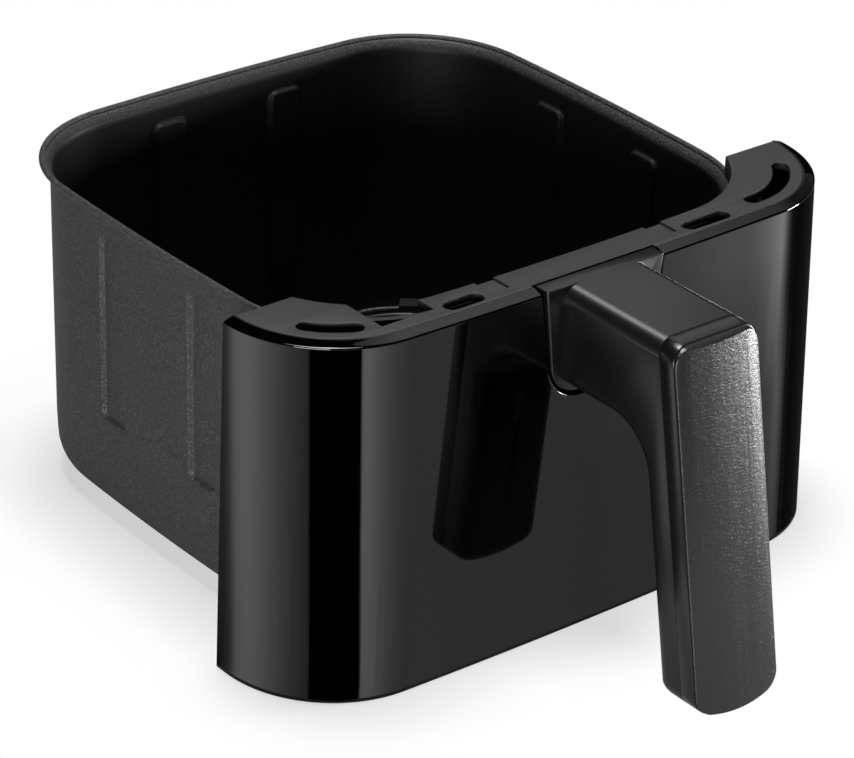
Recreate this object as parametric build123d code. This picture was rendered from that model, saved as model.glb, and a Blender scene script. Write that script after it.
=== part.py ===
from build123d import *
import math
import os

# Drawer of a square-basket air fryer: pan, lift-out crisper plate, front panel, top bezel and handle.
# Millimetres. The origin is the centre of the pan's footprint on the surface that it stands on,
# +Z is up and the handle points towards -Y.

# ---------------------------------------------------------------- pan
pan_half_width = 106.7      # outer wall, at the top of the plain wall
pan_half_depth = 102.5
pan_corner = 47.5           # outer corner radius there
pan_bow = 1.1               # how far each wall bulges between its corners
pan_wall = 1.0
pan_height = 128.7          # top of the plain wall, under the rim
pan_draft = 2.0             # how much each half size shrinks from there to the floor
pan_floor_radius = 18.0     # outer radius between floor and wall
rim_reach = 4.1             # outermost edge of the rim beyond the wall
rim_rise = 3.3              # centre of the rim's bead above the plain wall
rim_bead = 1.2              # radius of the bead
rim_flare = 2.5             # width of the sloping flare inside the bead
rim_shoulder = math.radians(15)     # where the flare runs into the bead, above the bead's centre

rib_pitch = 56.0            # two pressed ribs on each side wall and on the back wall
rib_width = 16.0
rib_low = 43.5
rib_high = 122.0
rib_depth = 1.8
rib_slope = 1.2             # width of the sloping flank
rib_corner = 3.5
rib_smallest_corner = 0.4   # left at a rib's bottom
rib_thickening = 0.6        # sheet left around a rib's flanks, on the inside

# ---------------------------------------------------------------- crisper plate
plate_gap = 1.6             # between plate and pan wall
plate_level = 9.5           # underside of the grid
plate_thickness = 1.5
plate_ring = 6.4            # width of the ring around the grid
plate_edge_height = 3.4     # turned-up outer edge above the grid
plate_edge_width = 2.4
plate_bead_height = 2.4     # inner bead above the grid
plate_bead_width = 2.2
grid_pitch = 17.0
grid_bar = 3.8
window_corner = 3.0
smallest_window = 0.15      # cut-off windows under this share of a whole one stay closed
ring_round = 0.45           # rounding of the ring's two edges, as a share of their width
foot_radius = 6.5           # pressed feet, where a window stays closed
foot_taper = 0.8            # a foot's lower radius, as a share of the upper one
foot_windows = (4, 3)       # windows from the middle to a foot, across and back
foot_gap = 0.3              # left under them
bumper_length = 16.0        # silicone bumpers clipped over the plate's corners
bumper_wall = 1.6
bumper_fit = 0.05
bumper_gap = 0.3            # left between a bumper and the pan

# ---------------------------------------------------------------- front panel
panel_half_width = 131.0    # outside, at the top
panel_front = 122.55        # outside, middle of the front at the top
panel_corner = 46.0
panel_bow = 1.4             # bulge of its front
panel_side_bow = 0.1        # its sides are almost straight
panel_wall = 3.0
panel_above_pan = 10.0      # top of the panel's face above the pan's plain wall
panel_spread = 1.0          # each side stands this much further out at the floor
panel_lean = 5.95           # and the front this much
panel_back = -75.1          # where its two ends stop
panel_lift = 0.4            # lower edge above the surface
band_width = 4.5            # sloping band along the top edge
band_rise = 1.4
band_depth = 2.7            # height of the thicker lip under the band

# ---------------------------------------------------------------- top bezel
bezel_plate = 3.0
bezel_gap = 0.15            # between bezel and band
bezel_cover = 1.3           # inner edge, beyond the pan's plain wall
bezel_back = -75.5
bezel_skirt = 1.8
bezel_rim_gap = 0.3         # between the skirt and the rim under it
slot_width = 6.6
slot_line = -112.0          # centre line of the straight slots
slot_inset = 12.6           # centre line of the corner slots, inside the panel's outer face
right_slot = (47.0, 69.0)
left_slot = (-64.0, -47.0)
right_corner_slot = (-11.5, 46.0)   # degrees from the 45 degree line of the corner: outer end, inner end
left_corner_slot = (-7.5, 22.0)
notch_from = -90.0          # locating notch, on the left only
notch_to = -67.5
notch_line = -110.5
pocket_from = 35.0          # shallow pockets either side of the middle
pocket_to = 43.5
pocket_line = -112.5
pocket_depth = 1.6

# ---------------------------------------------------------------- inner frame
frame_gap = 1.2             # between the rim and the frame's wall
frame_wall = 2.4
frame_lift = 3.0            # lower edge above the surface
frame_fit = 0.3             # between the frame and the inside of the panel
frame_back = -75.7
shelf_drop = 18.5           # underside of the shelf that takes the bezel's screws, under the bezel's top
rib_thickness = 2.0
frame_rib_places = (-92.0, -62.0, 62.0, 92.0)

# ---------------------------------------------------------------- bracket between pan and frame
bracket_sheet = 1.5
bracket_drop = 8.7          # upper edge under the top of the pan's plain wall
bracket_length = 58.0
bracket_half_web = 30.0
bracket_half_width = 45.0
rivet_diameter = 4.0
rivet_head = 8.0
rivet_head_height = 1.3
rivet_round = 0.7           # rounding of a rivet's head, as a share of its height
rivet_inside = 0.3          # how deep the shank starts inside its heads
rivet_x = 38.0
rivet_inset = 10.0          # rivets from the bracket's upper and lower edge
shield_sheet = 0.5          # reflecting sheet between bracket and frame
sheet_gap = 0.05            # between the bowed faces of bracket, shield and frame
shield_half_width = 52.0
shield_hole_gap = 0.5       # around the handle screws
shield_low = 14.0
shield_drop = 4.7           # upper edge under the top of the pan's plain wall

# ---------------------------------------------------------------- handle
mount_half_top = 27.3       # shield-shaped mount set into the panel
mount_half_low = 21.8
mount_drop = 43.6           # lower edge under the bezel's top
mount_corner = 14.0
mount_spare = 10.0          # its outline runs on this far above the bezel, to be cut off
mount_edge = 0.8            # rounding of its front edge
mount_back = -117.2
mount_front = -123.8
mount_gap = 1.3             # around the mount, in panel and bezel
mount_boss_half = 19.0
mount_boss_drop = 39.1      # lower face of its boss, likewise
mount_boss_corner = 5.0
mount_boss_gap = 0.3        # between its boss and the bezel's underside
stem_half_width = 19.6
stem_height = 38.9          # underside of the stem, under the bezel's top
stem_corner = 6.4           # radius of the long edges of stem and grip
seam_drop = 6.6             # seam between upper and lower shell, under the bezel's top
shell_wall = 2.5
grip_lean = 10.9            # degrees, the grip leans forward on its way down
parting_y = -175.4          # plane between shells and grip frame, parting_drop under the bezel's top
parting_drop = 17.1
grip_rear = 13.6            # rear of the grip behind that plane
grip_frame_depth = 7.1      # grip frame in front of it
grip_low = 2.6
grip_heel = 7.0             # radius at the rear of the grip's lower end
elbow_radius = 20.0         # inside curve between stem and grip
grip_toe = 6.8              # radius at its front
nose_radius = 15.5          # curve from the top of the stem into the grip's front
grip_spare = 8.4            # the handle's form runs on this far ahead of the frame, to be cut off
frame_web = 3.0             # thickness of the grip frame under the insert
insert_inset = 0.35
insert_edge = 0.9           # insert's thickness along its sides
insert_crown = 1.5          # and how much more in the middle
insert_round = 0.5
peg_diameter = 4.0
peg_length = 2.4
peg_gap = 0.3               # left under a peg
peg_places = (24.0, 62.0, 92.0)
core_strap = 2.5            # steel strap through stem and grip
core_half_width = 11.0
core_drop = 35.6            # lower end of the strap, under the bezel's top
core_arm_drop = 10.6        # underside of the strap in the stem, likewise
core_end = 66.0             # how far the strap runs down the grip
core_foot = 4.0             # its foot behind the stem is this much wider on each side, and as long
core_boss_gap = 0.5         # around the grip's bosses
core_stand = 3.0            # height of the bosses that carry it
core_boss = 8.0
core_screw_places = (30.0, 58.0)
grip_boss = 8.0
grip_screw_places = (44.0, 80.0, 104.0)

# ---------------------------------------------------------------- fasteners
fit = 0.05                  # radial clearance of every shank and peg in its hole
machine_screw = 4.0         # handle screws
machine_head = 7.5
machine_head_height = 2.4
nut_flats = 7.0
nut_height = 3.0
nut_root = 0.5              # a nut's blank starts this deep in the web, which cuts it
handle_screw_x = 9.5        # two screws side by side, and one under them
handle_screw_drops = (18.1, 30.6)   # under the bezel's top
plastic_screw = 3.0         # thread-forming screws
plastic_head = 5.6
plastic_head_height = 2.0
plastic_boss = 8.0
boss_run = 60.0             # longer than any boss, whose far end is cut by the part it stands on
head_round = 0.45           # rounding of a screw head, as a share of its height
drive_share = 0.55          # length of the cross recess, as a share of the head
drive_width = 0.9
drive_depth = 1.1
spot_depth = 0.6            # flat seat sunk under a head on a curved wall
spot_gap = 0.6              # around the head in its seat
spot_reach = 6.0            # how far the seat's cutter runs on the head's side
pilot_gap = 0.5             # left in a pilot hole past the screw's end
driver_hole = 6.0           # in the frame's lower shelf, to reach the bezel's screws
panel_screw_x = 56.0
panel_screw_low = 24.0
panel_screw_drop = 42.1     # the upper ones, under the bezel's top
panel_screw_length = 12.0
bezel_screw_places = ((-103.0, -93.4), (-32.0, -113.2), (32.0, -113.2), (103.0, -93.4))
bezel_boss = 6.4
bezel_screw_length = 11.0
grip_screw_length = 12.0
core_screw_length = 7.0
head_sink = 2.1             # how deep the grip screws' heads sit in the frame
head_gap = 0.2              # around them
screw_short = 0.2           # the handle screws end this far inside their nuts

big = 400.0                 # larger than the whole drawer, for cutting tools
overcut = 1.0               # how far a cutting tool runs past a face
same = 0.01                 # points closer than this are one point

# values that follow from the ones above
rim_top = pan_height + rim_rise + rim_bead
panel_height = pan_height + panel_above_pan
bezel_top = panel_height + band_rise
shelf_level = bezel_top - shelf_drop
bracket_high = pan_height - bracket_drop
bracket_low = bracket_high - bracket_length
rivet_levels = (bracket_low + rivet_inset, bracket_high - rivet_inset)
shield_high = pan_height - shield_drop
mount_low = bezel_top - mount_drop
mount_boss_low = bezel_top - mount_boss_drop
stem_low = bezel_top - stem_height
seam_level = bezel_top - seam_drop
parting_z = bezel_top - parting_drop
core_low = bezel_top - core_drop
core_arm_level = bezel_top - core_arm_drop
handle_screw_places = (
    (-handle_screw_x, bezel_top - handle_screw_drops[0]),
    (handle_screw_x, bezel_top - handle_screw_drops[0]),
    (0.0, bezel_top - handle_screw_drops[1]),
)
panel_screw_levels = (panel_screw_low, bezel_top - panel_screw_drop)
bezel_under = bezel_top - bezel_plate
frame_inner = rim_reach + frame_gap
frame_outer = frame_inner + frame_wall
shield_outer = frame_inner - sheet_gap
bracket_outer = shield_outer - shield_sheet - sheet_gap
lean = math.radians(grip_lean)


# ================================================================ outlines
class Outline:
    """A rectangle with round corners whose four sides bulge a little. Any offset of it is exact."""

    def __init__(self, half_x, half_y, corner, side_bow, front_bow):
        self.half_x = half_x
        self.half_y = half_y
        self.corner = corner
        self.side_x = ((half_y - corner) ** 2 + side_bow ** 2) / (2 * side_bow)
        self.side_y = ((half_x - corner) ** 2 + front_bow ** 2) / (2 * front_bow)
        # the corner arc touches both side arcs from inside
        x0, y0 = half_x - self.side_x, half_y - self.side_y
        r0, r1 = self.side_x - corner, self.side_y - corner
        gap = math.hypot(x0, y0)
        along = (r0 ** 2 - r1 ** 2 + gap ** 2) / (2 * gap)
        across = math.sqrt(r0 ** 2 - along ** 2)
        self.cx = x0 - x0 / gap * along - y0 / gap * across
        self.cy = y0 / gap * along - x0 / gap * across
        self.to_side = math.atan2(self.cy, self.cx - x0)
        self.to_front = math.atan2(self.cy - y0, self.cx)

    def corner_point(self, angle, offset, sx=1, sy=1):
        reach = self.corner + offset
        return (sx * (self.cx + reach * math.cos(angle)), sy * (self.cy + reach * math.sin(angle)))

    def wire(self, offset=0.0):
        edges = []
        angles = (self.to_side, (self.to_side + self.to_front) / 2, self.to_front)
        for sx in (1, -1):
            for sy in (1, -1):
                edges.append(ThreePointArc(*(self.corner_point(a, offset, sx, sy) for a in angles)))
            low, high = (self.corner_point(self.to_side, offset, sx, sy) for sy in (-1, 1))
            edges.append(ThreePointArc(low, (sx * (self.half_x + offset), 0), high))
        for sy in (1, -1):
            left, right = (self.corner_point(self.to_front, offset, sx, sy) for sx in (-1, 1))
            edges.append(ThreePointArc(left, (0, sy * (self.half_y + offset)), right))
        return Wire(edges)

    def face(self, offset=0.0, level=0.0):
        return Pos(0, 0, level) * make_face(self.wire(offset))

    def prism(self, offset, low, high):
        return extrude(self.face(offset, low), high - low, dir=(0, 0, 1))

    def ring(self, inner, outer, low, high):
        return self.prism(outer, low, high) - self.prism(inner, low, high)

    def holds(self, x, y, offset):
        """Whether a point with positive x and y lies inside the offset outline."""
        if x <= self.cx:
            return y <= -self.front_y(offset, x)
        if y <= self.cy:
            radius = self.side_x + offset
            return x <= self.half_x + offset - radius + math.sqrt(radius ** 2 - y ** 2)
        return math.hypot(x - self.cx, y - self.cy) <= self.corner + offset

    def front_y(self, offset, x):
        """Where the front side of the offset outline lies at x."""
        radius = self.side_y + offset
        return -(self.half_y + offset) + radius - math.sqrt(radius ** 2 - x ** 2)


pan_line = Outline(pan_half_width, pan_half_depth, pan_corner, pan_bow, pan_bow)
panel_line = Outline(panel_half_width, panel_front, panel_corner, panel_side_bow, panel_bow)
panel_foot_line = Outline(
    panel_half_width + panel_spread, panel_front + panel_lean, panel_corner, panel_side_bow, panel_bow
)


def block(x0, x1, y0, y1, z0, z1):
    """A box between two corners."""
    centre = ((x0 + x1) / 2, (y0 + y1) / 2, (z0 + z1) / 2)
    return Pos(*centre) * Box(abs(x1 - x0), abs(y1 - y0), abs(z1 - z0))


def rod(plane, radius, length, start=0.0):
    """A cylinder along the plane's normal, from start to start + length."""
    disc = plane.offset(start) * Circle(radius)
    return extrude(disc, length, dir=plane.z_dir)


def facing_pan(x, y, z):
    """Plane at a point of the front, looking back towards the pan."""
    return Plane(origin=(x, y, z), x_dir=(1, 0, 0), z_dir=(0, 1, 0))


def facing_front(x, y, z):
    return Plane(origin=(x, y, z), x_dir=(-1, 0, 0), z_dir=(0, -1, 0))


def upward(x, y, z):
    return Plane(origin=(x, y, z), x_dir=(1, 0, 0), z_dir=(0, 0, 1))


def screw(plane, shank, length, head, head_height):
    """Pan-head screw: its head rests on the plane and its shank runs along the normal."""
    body = rod(plane, head / 2, head_height, -head_height)
    top = body.faces().sort_by(Axis(plane.origin, plane.z_dir))[0]
    body = fillet(top.edges(), head_height * head_round)
    for turn in (0, 90):
        slot = Box(head * drive_share, drive_width, drive_depth * 2)
        body -= plane.offset(-head_height).location * Rot(0, 0, turn) * slot
    return body + rod(plane, shank / 2, length)


# ================================================================ pan
def pan_form(offset=0.0, base=0.0):
    """Drafted body inside the plain wall, offset outwards, from base to the top of the plain wall."""
    shrink = pan_draft * (1 - base / pan_height)
    form = loft([pan_line.face(offset - shrink, base), pan_line.face(offset, pan_height)], ruled=True)
    edges = form.edges().group_by(Axis.Z)[0]
    return fillet(edges, pan_floor_radius - base + min(offset + base, 0))


def pan_cavity(clearance=0.0):
    return pan_form(-pan_wall - clearance, pan_wall + clearance)


def rim():
    """Flared lip that ends in a rolled bead, swept around the top of the wall."""
    bead_x, bead_z = rim_reach - rim_bead, pan_height + rim_rise
    flare_x, flare_z = -pan_wall + rim_flare, bead_z - rim_bead / 4
    shoulder = bead_x - rim_bead * math.cos(rim_shoulder)
    shoulder_z = bead_z + rim_bead * math.sin(rim_shoulder)
    outline = [
        Line((0, pan_height), (-pan_wall, pan_height)),
        Line((-pan_wall, pan_height), (flare_x, flare_z)),
        Line((flare_x, flare_z), (shoulder, shoulder_z)),
        ThreePointArc((shoulder, shoulder_z), (bead_x + rim_bead, bead_z), (bead_x, bead_z - rim_bead)),
        Line((bead_x, bead_z - rim_bead), (0, pan_height)),
    ]
    start = Plane(origin=(pan_half_width, 0, 0), x_dir=(1, 0, 0), z_dir=(0, -1, 0))
    section = start * make_face(Wire(outline))
    return sweep(section, path=Pos(0, 0, pan_height) * pan_line.wire())


def rib_plane(wall, place):
    """Plane on the outside of a wall, at the middle of one pressed rib, its normal pointing inwards."""
    middle = (rib_low + rib_high) / 2
    tilt = math.atan(pan_draft / pan_height)
    inset = pan_draft * (1 - middle / pan_height)
    if wall == "back":
        reach = -pan_line.front_y(-inset, place)
        normal = (0, -math.cos(tilt), math.sin(tilt))
        return Plane(origin=(place, reach, middle), x_dir=(1, 0, 0), z_dir=normal)
    radius = pan_line.side_x - inset
    reach = pan_half_width - inset - radius + math.sqrt(radius ** 2 - place ** 2)
    side = 1 if wall == "right" else -1
    normal = (-side * math.cos(tilt), 0, math.sin(tilt))
    return Plane(origin=(side * reach, place, middle), x_dir=(0, 1, 0), z_dir=normal)


def rib_shape(plane, grow, start, depth):
    """Block with sloping flanks whose mouth lies on the wall."""
    width = rib_width + 2 * grow
    height = rib_high - rib_low + 2 * grow
    mouth = plane.offset(start) * RectangleRounded(width, height, rib_corner + grow)
    slope = rib_slope / rib_depth * depth
    corner = max(rib_corner + grow - slope, rib_smallest_corner)
    bottom = plane.offset(start + depth) * RectangleRounded(width - 2 * slope, height - 2 * slope, corner)
    return loft([mouth, bottom], ruled=True)


def pan():
    body = pan_form() - pan_cavity() + rim()
    walls = ("left", "right", "back")
    planes = [rib_plane(wall, side * rib_pitch / 2) for wall in walls for side in (-1, 1)]
    for plane in planes:
        body += rib_shape(plane, rib_thickening, pan_wall / 2, rib_depth + pan_wall / 2)
        body -= rib_shape(plane, rib_slope / rib_depth * overcut, -overcut, rib_depth + overcut)
    for x, level in rivet_spots():
        body -= rod(facing_pan(x, -big / 2, level), rivet_diameter / 2 + fit, big / 2)
    return body


# ================================================================ bracket, rivets and shield
def rivet_spots():
    return [(side * rivet_x, level) for side in (-1, 1) for level in rivet_levels]


def bracket_form():
    """Hat-shaped bracket: two flanges on the pan wall and a web that stands off it, before its holes."""
    span = block(-bracket_half_web, bracket_half_web, -big / 2, 0, bracket_low, bracket_high)
    web = pan_line.ring(bracket_outer - bracket_sheet, bracket_outer, 0, pan_height) & span
    hollow = block(-bracket_half_web + bracket_sheet, bracket_half_web - bracket_sheet, -big, 0, 0, big)
    sides = (pan_line.prism(bracket_outer - bracket_sheet / 2, bracket_low, bracket_high) & span) - hollow
    reach = block(-bracket_half_width, bracket_half_width, -big / 2, 0, bracket_low, bracket_high)
    flanges = (pan_form(bracket_sheet) & reach) - hollow
    return web + (sides + flanges - pan_form())


def mounting_bracket():
    body = bracket_form()
    for x, level in rivet_spots():
        body -= rod(facing_pan(x, -big / 2, level), rivet_diameter / 2 + fit, big / 2)
    for x, level in handle_screw_places:
        body -= rod(facing_pan(x, -big / 2, level), machine_screw / 2 + fit, big / 2)
    return body


def bracket_rivets():
    """Four rivets through flange and pan wall, a head on each side."""
    sheets = pan_form(bracket_sheet) - pan_cavity()
    rivets = []
    for x, level in rivet_spots():
        shrink = pan_draft * (1 - level / pan_height)
        outside = pan_line.front_y(bracket_sheet - shrink, x)
        inside = pan_line.front_y(-pan_wall - shrink, x)
        plane = facing_pan(x, outside - rivet_head_height, level)
        length = inside - outside + 2 * rivet_head_height
        heads = rod(plane, rivet_head / 2, length)
        heads = fillet(heads.edges().filter_by(GeomType.CIRCLE), rivet_head_height * rivet_round)
        shank = rod(plane, rivet_diameter / 2, length - 2 * rivet_inside, rivet_inside)
        rivets.append((heads - sheets) + shank)
    return rivets


def weld_nuts():
    """Hexagon nuts on the pan side of the bracket's web."""
    nuts = []
    face_y = pan_line.front_y(bracket_outer - bracket_sheet, 0)
    for x, level in handle_screw_places:
        plane = facing_pan(x, face_y - nut_root, level)
        hexagon = RegularPolygon(nut_flats / math.sqrt(3), 6)
        nut = extrude(plane * hexagon, nut_height + nut_root, dir=(0, 1, 0))
        nut -= rod(plane, machine_screw / 2 + fit, nut_height + overcut)
        nuts.append(nut - pan_line.ring(bracket_outer - bracket_sheet, bracket_outer, 0, pan_height))
    return nuts


def heat_shield():
    """Thin reflecting sheet on the pan side of the frame."""
    sheet = pan_line.ring(shield_outer - shield_sheet, shield_outer, shield_low, shield_high)
    sheet &= block(-shield_half_width, shield_half_width, -big / 2, 0, 0, big)
    for x, level in handle_screw_places:
        sheet -= rod(facing_pan(x, -big / 2, level), machine_screw / 2 + shield_hole_gap, big / 2)
    return sheet


# ================================================================ front panel
def panel_form(offset, low, high):
    """Body inside the panel's outer face, which spreads and leans outwards on its way down."""
    form = loft([panel_foot_line.face(offset, 0), panel_line.face(offset, panel_height)], ruled=True)
    return form & block(-big, big, -big, panel_back, low, high)


def mount_outline(grow=0.0):
    """Shield-shaped outline of the handle mount, on the XZ plane."""
    slope = (mount_half_top - mount_half_low) / (bezel_top - mount_low)
    top = bezel_top + mount_spare
    half = mount_half_top + slope * mount_spare
    points = [(-half, top), (-mount_half_low, mount_low), (mount_half_low, mount_low), (half, top)]
    face = make_face(Polyline(*points, close=True))
    corners = face.vertices().sort_by(Axis.Y)[:2]
    face = fillet(corners, mount_corner)
    return offset(face, grow) if grow else face


def mount_prism(y_front, y_back, grow=0.0):
    """The mount's outline between two depths, up to the top of the bezel."""
    plane = Plane(origin=(0, y_back, 0), x_dir=(1, 0, 0), z_dir=(0, -1, 0))
    prism = extrude(plane * mount_outline(grow), y_back - y_front, dir=(0, -1, 0))
    return prism & block(-big, big, -big, big, 0, bezel_top)


def band_form():
    """Upper edge of the panel: the face leans in over the band's width and rises to the bezel."""
    cap = loft([panel_line.face(0, panel_height), panel_line.face(-band_width, bezel_top)], ruled=True)
    return cap & block(-big, big, -big, panel_back, 0, big)


def panel_boss_spots():
    return [(side * panel_screw_x, level) for side in (-1, 1) for level in panel_screw_levels]


def front_panel():
    lip = panel_height - band_depth
    body = panel_form(0, panel_lift, panel_height) + band_form()
    body -= panel_form(-panel_wall, 0, lip)
    body -= panel_line.prism(-band_width, lip - overcut, bezel_top + overcut)
    solid = panel_form(0, panel_lift, panel_height)
    for x, level in panel_boss_spots():
        start = facing_front(x, pan_line.front_y(frame_outer, x) + overcut, level)
        boss = rod(start, plastic_boss / 2, boss_run) - pan_line.prism(frame_outer, 0, big)
        pilot = panel_screw_length + spot_depth - frame_wall + overcut + pilot_gap
        body += boss & solid
        body -= rod(start, plastic_screw / 2 + fit, pilot)
    return body - mount_prism(-big / 2, -big / 4, mount_gap)


# ================================================================ top bezel
def corner_slot(side, span):
    """Slot that follows the corner of the panel, between two angles from the 45 degree line."""
    radius = panel_corner - slot_inset
    start, end = (math.radians(45 - a) for a in span)
    points = []
    for angle in (start, (start + end) / 2, end):
        x = panel_line.cx + radius * math.sin(angle)
        y = -panel_line.cy - radius * math.cos(angle)
        points.append((side * x, y))
    return SlotArc(ThreePointArc(*points), slot_width)


def straight_slot(ends):
    middle = (ends[0] + ends[1]) / 2
    return Pos(middle, slot_line) * SlotOverall(abs(ends[1] - ends[0]), slot_width)


def bezel_slots():
    return [
        corner_slot(1, right_corner_slot),
        corner_slot(-1, left_corner_slot),
        straight_slot(right_slot),
        straight_slot(left_slot),
    ]


def bezel_outline():
    """Plan of the bezel between the pan and the panel's band."""
    plan = panel_line.face(-band_width - bezel_gap) - pan_line.face(bezel_cover)
    plan &= Pos(0, bezel_back - big / 2) * Rectangle(big * 2, big)
    middle = (notch_from + notch_to) / 2
    return plan - Pos(middle, notch_line + big / 2) * Rectangle(notch_to - notch_from, big)


def top_bezel():
    plate = extrude(bezel_outline().moved(Pos(0, 0, bezel_under)), bezel_plate, dir=(0, 0, 1))
    skirt_low = rim_top + bezel_rim_gap
    skirt = pan_line.ring(bezel_cover, bezel_cover + bezel_skirt, skirt_low, bezel_under)
    skirt &= block(-big, big, -big, bezel_back, 0, big)
    skirt -= block(notch_from - bezel_skirt, notch_to + bezel_skirt, -big, 0, 0, big)
    body = plate + skirt
    for x, y in bezel_screw_places:
        plane = upward(x, y, shelf_level + frame_wall)
        body += rod(plane, bezel_boss / 2, bezel_under - shelf_level - frame_wall)
        body -= rod(plane, plastic_screw / 2 + fit, bezel_screw_length - frame_wall + pilot_gap)
    for slot in bezel_slots():
        body -= extrude(Pos(0, 0, bezel_under - overcut) * slot, bezel_plate + 2 * overcut, dir=(0, 0, 1))
    for side in (-1, 1):
        ends = sorted((side * pocket_from, side * pocket_to))
        body -= block(ends[0], ends[1], pocket_line, 0, bezel_top - pocket_depth, big)
    return body - mount_prism(-big / 2, mount_back + mount_gap, mount_gap)


# ================================================================ inner frame
def frame_space():
    """Room between the pan side of the frame and the inside of the panel."""
    room = panel_form(-panel_wall - frame_fit, 0, big) & panel_line.prism(-band_width - frame_fit, 0, big)
    low_room = panel_form(-panel_wall - frame_fit, 0, panel_height - band_depth - frame_fit)
    room = (room + low_room) & block(-big, big, -big, frame_back, frame_lift, bezel_under)
    return room - pan_line.prism(frame_inner, 0, big)


def inner_frame():
    room = frame_space()
    core = pan_line.prism(frame_outer, 0, big)
    body = room & core
    upper = block(-big, big, -big, 0, shelf_level, shelf_level + frame_wall)
    lower = block(-big, big, -big, 0, frame_lift, frame_lift + frame_wall)
    ends = block(-big, big, frame_back - frame_wall, 0, 0, bezel_under)
    body += room & (upper + lower + ends)
    for x in frame_rib_places:
        rib = block(x - rib_thickness / 2, x + rib_thickness / 2, -big, 0, 0, shelf_level)
        body += room & rib
    body -= mount_prism(-big / 2, 0, mount_gap) - core
    for x, level in panel_boss_spots():
        seat = pan_line.front_y(frame_inner, x) - spot_depth
        plane = facing_front(x, seat, level)
        body -= rod(plane, plastic_head / 2 + spot_gap, spot_reach, -spot_reach)
        body -= rod(plane, plastic_screw / 2 + fit, frame_wall * 2)
    for x, y in bezel_screw_places:
        body -= rod(upward(x, y, shelf_level - overcut), plastic_screw / 2 + fit, frame_wall + 2 * overcut)
        body -= rod(upward(x, y, 0), driver_hole / 2, frame_lift + frame_wall + overcut)
    for x, level in handle_screw_places:
        body -= rod(facing_pan(x, -big / 2, level), machine_screw / 2 + fit, big / 2)
    return body


# ================================================================ handle
def parting(level):
    """Where the plane between the shells and the grip frame lies at a level."""
    return parting_y - (parting_z - level) * math.tan(lean)


def corners_at(face, point):
    """The face's vertices at a point of the YZ plane."""
    return [v for v in face.vertices() if math.hypot(v.X - point[0], v.Y - point[1]) < same]


def handle_profile(inset=0.0):
    """Side view of stem and grip on the YZ plane, inset evenly except at the mount.

    Its front line lies grip_spare ahead of the grip frame's real front, which is cut later.
    """
    shift = inset / math.cos(lean)
    top = bezel_top - inset
    under = stem_low + inset
    low = grip_low + inset

    def rear(level):
        return parting(level) + grip_rear - shift

    def front(level):
        return parting(level) - grip_frame_depth - grip_spare + shift

    nose = (front(top), top)
    toe = (front(low), low)
    heel = (rear(low), low)
    elbow = (rear(under), under)
    face = make_face(Polyline((mount_front, under), (mount_front, top), nose, toe, heel, elbow, close=True))
    rounds = [(nose, nose_radius - inset), (toe, grip_toe - inset), (heel, grip_heel - inset)]
    rounds.append((elbow, elbow_radius + inset))
    for point, radius in rounds:
        face = fillet(corners_at(face, point), radius)
    return face


def handle_form(inset=0.0):
    """Stem and grip as one body with round long edges, reaching ahead of the grip frame's front."""
    half = stem_half_width - inset
    form = extrude(Plane.YZ * handle_profile(inset), half, both=True)
    edges = []
    for edge in form.edges():
        middle = edge.center()
        if abs(abs(middle.X) - half) < same and middle.Y < mount_front - same:
            edges.append(edge)
    return fillet(edges, stem_corner - inset)


def ahead_of(distance=0.0):
    """Everything in front of the parting plane moved forward by a distance."""
    points = [(parting(z) - distance / math.cos(lean), z) for z in (-big, big)]
    points += [(-2 * big, big), (-2 * big, -big)]
    return extrude(Plane.YZ * make_face(Polyline(*points, close=True)), big, both=True)


def grip_plane(place, depth=0.0, x=0.0):
    """Plane on the grip, place down from the top of the parting plane; its normal points forward."""
    y = parting_y - place * math.sin(lean) - depth * math.cos(lean)
    z = parting_z - place * math.cos(lean) + depth * math.sin(lean)
    return Plane(origin=(x, y, z), x_dir=(1, 0, 0), z_dir=(0, -math.cos(lean), math.sin(lean)))


def grip_plane_back(place, depth=0.0, x=0.0):
    front = grip_plane(place, depth, x)
    return Plane(origin=front.origin, x_dir=(-1, 0, 0), z_dir=front.z_dir * -1)


rear_depth = grip_rear * math.cos(lean)                 # parting plane to the rear of the grip
front_depth = grip_frame_depth * math.cos(lean)         # parting plane to the insert
strap_depth = rear_depth - shell_wall - core_stand      # rear face of the strap, behind the plane


def above_seam():
    return block(-big, big, -big, big, seam_level, big)


def handle_upper_shell():
    """Mount plate with its boss, and the roof of the stem, moulded in one piece."""
    roof = (handle_form() - handle_form(shell_wall)) & above_seam()
    roof -= ahead_of()
    boss_top = bezel_under - mount_boss_gap
    boss = block(-mount_boss_half, mount_boss_half, -big / 4, mount_back, mount_boss_low, boss_top)
    boss = fillet(boss.edges().filter_by(Axis.Y), mount_boss_corner)
    boss = (boss - pan_line.prism(frame_outer, 0, big)) & block(-big, big, mount_back - overcut, 0, 0, big)
    plate = soft_front(mount_prism(mount_front, mount_back))
    body = plate + boss + roof
    for x, level in handle_screw_places:
        body -= rod(facing_pan(x, -big / 2, level), machine_screw / 2 + fit, big / 2)
    return body


def soft_front(plate):
    """The mount plate with its front edge rounded, except along its top."""
    edges = plate.faces().sort_by(Axis.Y)[0].edges()
    return fillet([e for e in edges if e.center().Z < bezel_top - overcut], mount_edge)


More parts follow.
